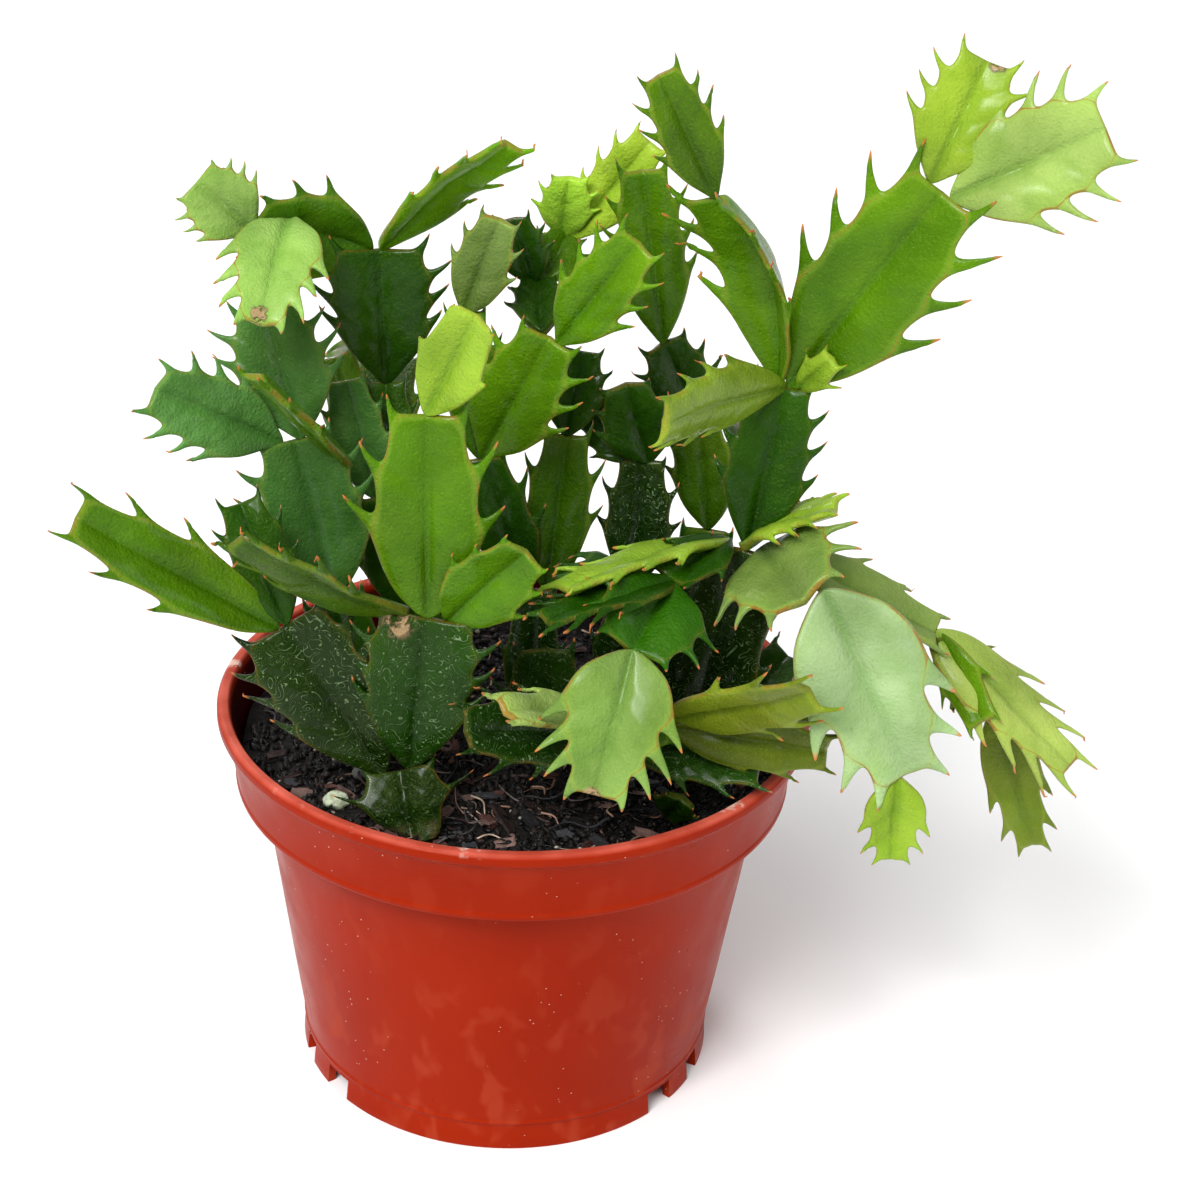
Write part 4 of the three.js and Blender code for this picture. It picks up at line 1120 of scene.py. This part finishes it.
def makeLeafSkin(name):
    look = leafLook
    material = startMaterial(
        name, Specular_IOR_Level=0.16, Specular_Tint=(0.75, 1, 0.2, 1),
        Coat_Weight=0.3, Coat_Roughness=0.16, Coat_IOR=1.4,
    )
    age, areole = attribute('age'), attribute('areole')
    cloud = grain(look['shadeScale'], 3, 0.55)
    shade = fade(cloud, 0.35, 0.65, 0, look['shadeMost'])
    colour = blendColour(shade, attribute('tint', 'Color'), look['shade'], 'MULTIPLY')
    fresh = fade(age, 0.05, 0.4, 1.0, 0.15)  # old skin keeps its deep green
    light = times(patchy(look['lightScale'], 2, 0.45, 0.75, 0, look['lightMost']), fresh)
    colour = blendColour(light, colour, look['light'])
    veins = times(attribute('vein'), fade(cloud, 0.3, 0.6, 0.2, 0.7))
    lines = strongest(veins, times(attribute('rib'), look['ribShade']))
    colour = blendColour(lines, colour, look['groove'], 'MULTIPLY')
    pores = times(fade(spots(look['poreScale']), 0.3, 0.1, 0, look['poreMost']), fresh)
    colour = blendColour(pores, colour, look['pore'])
    chalk = driedWater(age)
    colour = blendColour(times(chalk, look['curlMix']), colour, look['curl'])
    # painted glow of light shining through the thin edge, then the brown rim
    paintedEdgeGlow = times(fade(attribute('margin'), 0.45, 0.85), fade(age, 0.0, 0.4, 0.22, 0.03))
    colour = blendColour(paintedEdgeGlow, colour, look['edge'])
    rim = times(attribute('rim'), patchy(look['rimScale'], 2, 0.4, 0.6, 0.3, 1.0))
    colour = blendColour(times(fade(attribute('margin'), 0.9, 0.99), rim), colour, look['rim'])
    # claw tips, tufts in the notches, bark at the root and dry scars
    colour = blendColour(fade(attribute('clawPart'), 0.72, 0.95, 0, 0.9), colour, look['claw'])
    colour = blendColour(areole, colour, look['tuft'])
    bark = times(attribute('woody'), patchy(look['barkScale'], 3, 0.35, 0.6))
    colour = blendColour(bark, colour, look['bark'])
    crust = times(fade(attribute('scar'), 0.25, 0.6), patchy(look['scarScale'], 3, 0.4, 0.52))
    colour = blendColour(crust, colour, look['scar'])
    toShader(colour, 'Base Color')
    dull = strongest(strongest(chalk, areole), strongest(bark, crust))
    toShader(plus(patchy(look['roughScale'], 3, 0.3, 0.7, *look['rough']), times(dull, look['dullMore'])), 'Roughness')
    height = plus(times(grain(look['fineGrain'], 2, 0.6), 0.6), grain(look['broadGrain'], 2))
    height = calc('SUBTRACT', plus(height, times(chalk, 0.5)), times(lines, 0.5))
    bump(plus(height, times(crust, 1.5)), look['bumpDepth'])
    return material


slots = ('leaf_bright', 'leaf_mid', 'leaf_dark')
skins = {slot: makeLeafSkin(slot.replace('leaf_', '') + 'LeafSkin') for slot in slots}
for stemName, stem in stems.items():
    finishPiece(makeStem(stemName), skins[stem['slot']], stem['slot'], stemName)
    print(stemName, 'made')
for master in [*leafCages.values(), areoleMaster]:
    bpy.data.objects.remove(master)

# plain pale floor and soft studio light
studio = {
    'floor': 8.0, 'floorColour': (0.95, 0.95, 0.95), 'floorShade': (0.92, 0.92, 0.92), 'floorScale': 30,
    'sky': 0.42, 'sun': 2.0, 'sunWidth': 36, 'sunFrom': (-0.32, -0.72, 1.0),
}
studioLights = [  # name, place and aim in metres, width, height, power
    ('glossPanel', (-0.55, -0.8, 1.1), (0.0, 0.0, 0.12), 0.2, 0.2, 3.0),
    ('softPanel', (-0.45, -1.0, 1.12), (0.0, 0.0, 0.12), 0.55, 0.4, 7.0),
    ('backPanel', (-0.5, 0.9, 0.9), (0.0, 0.0, 0.14), 0.4, 0.4, 4.0),
    ('rightPanel', (1.2, -0.5, 0.6), (0.02, 0.0, 0.1), 0.3, 0.9, 2.0),
]


def makeFloor():
    floor = addPiece(bpy.ops.mesh.primitive_plane_add, size=studio['floor'])
    floor.name = 'studioFloor'
    material = startMaterial('studioPaper', Roughness=0.9, Specular_IOR_Level=0.1)
    paper = blendColour(grain(studio['floorScale']), studio['floorShade'], studio['floorColour'])
    toShader(paper, 'Base Color')
    floor.data.materials.append(material)


def addLight(name, kind, way):
    light = bpy.data.objects.new(name, bpy.data.lights.new(name, kind))
    light.rotation_euler = Vector(way).to_track_quat('-Z', 'Y').to_euler()
    bpy.context.scene.collection.objects.link(light)
    return light


def makeStudio():
    makeFloor()
    for name, spot, aim, width, height, power in studioLights:
        panel = addLight(name, 'AREA', Vector(aim) - Vector(spot))
        panel.location = spot
        panel.data.shape, panel.data.energy = 'RECTANGLE', power
        panel.data.size, panel.data.size_y = width, height
    sun = addLight('softSun', 'SUN', -Vector(studio['sunFrom']))
    sun.data.energy, sun.data.angle = studio['sun'], math.radians(studio['sunWidth'])
    world = bpy.data.worlds.new('studioAir')
    bpy.context.scene.world = world
    world.use_nodes = True
    air = world.node_tree.nodes['Background']
    air.inputs['Color'].default_value = (1, 1, 1, 1)
    air.inputs['Strength'].default_value = studio['sky']
    bpy.context.scene.view_settings.view_transform = 'Standard'


makeStudio()
print('studio set')
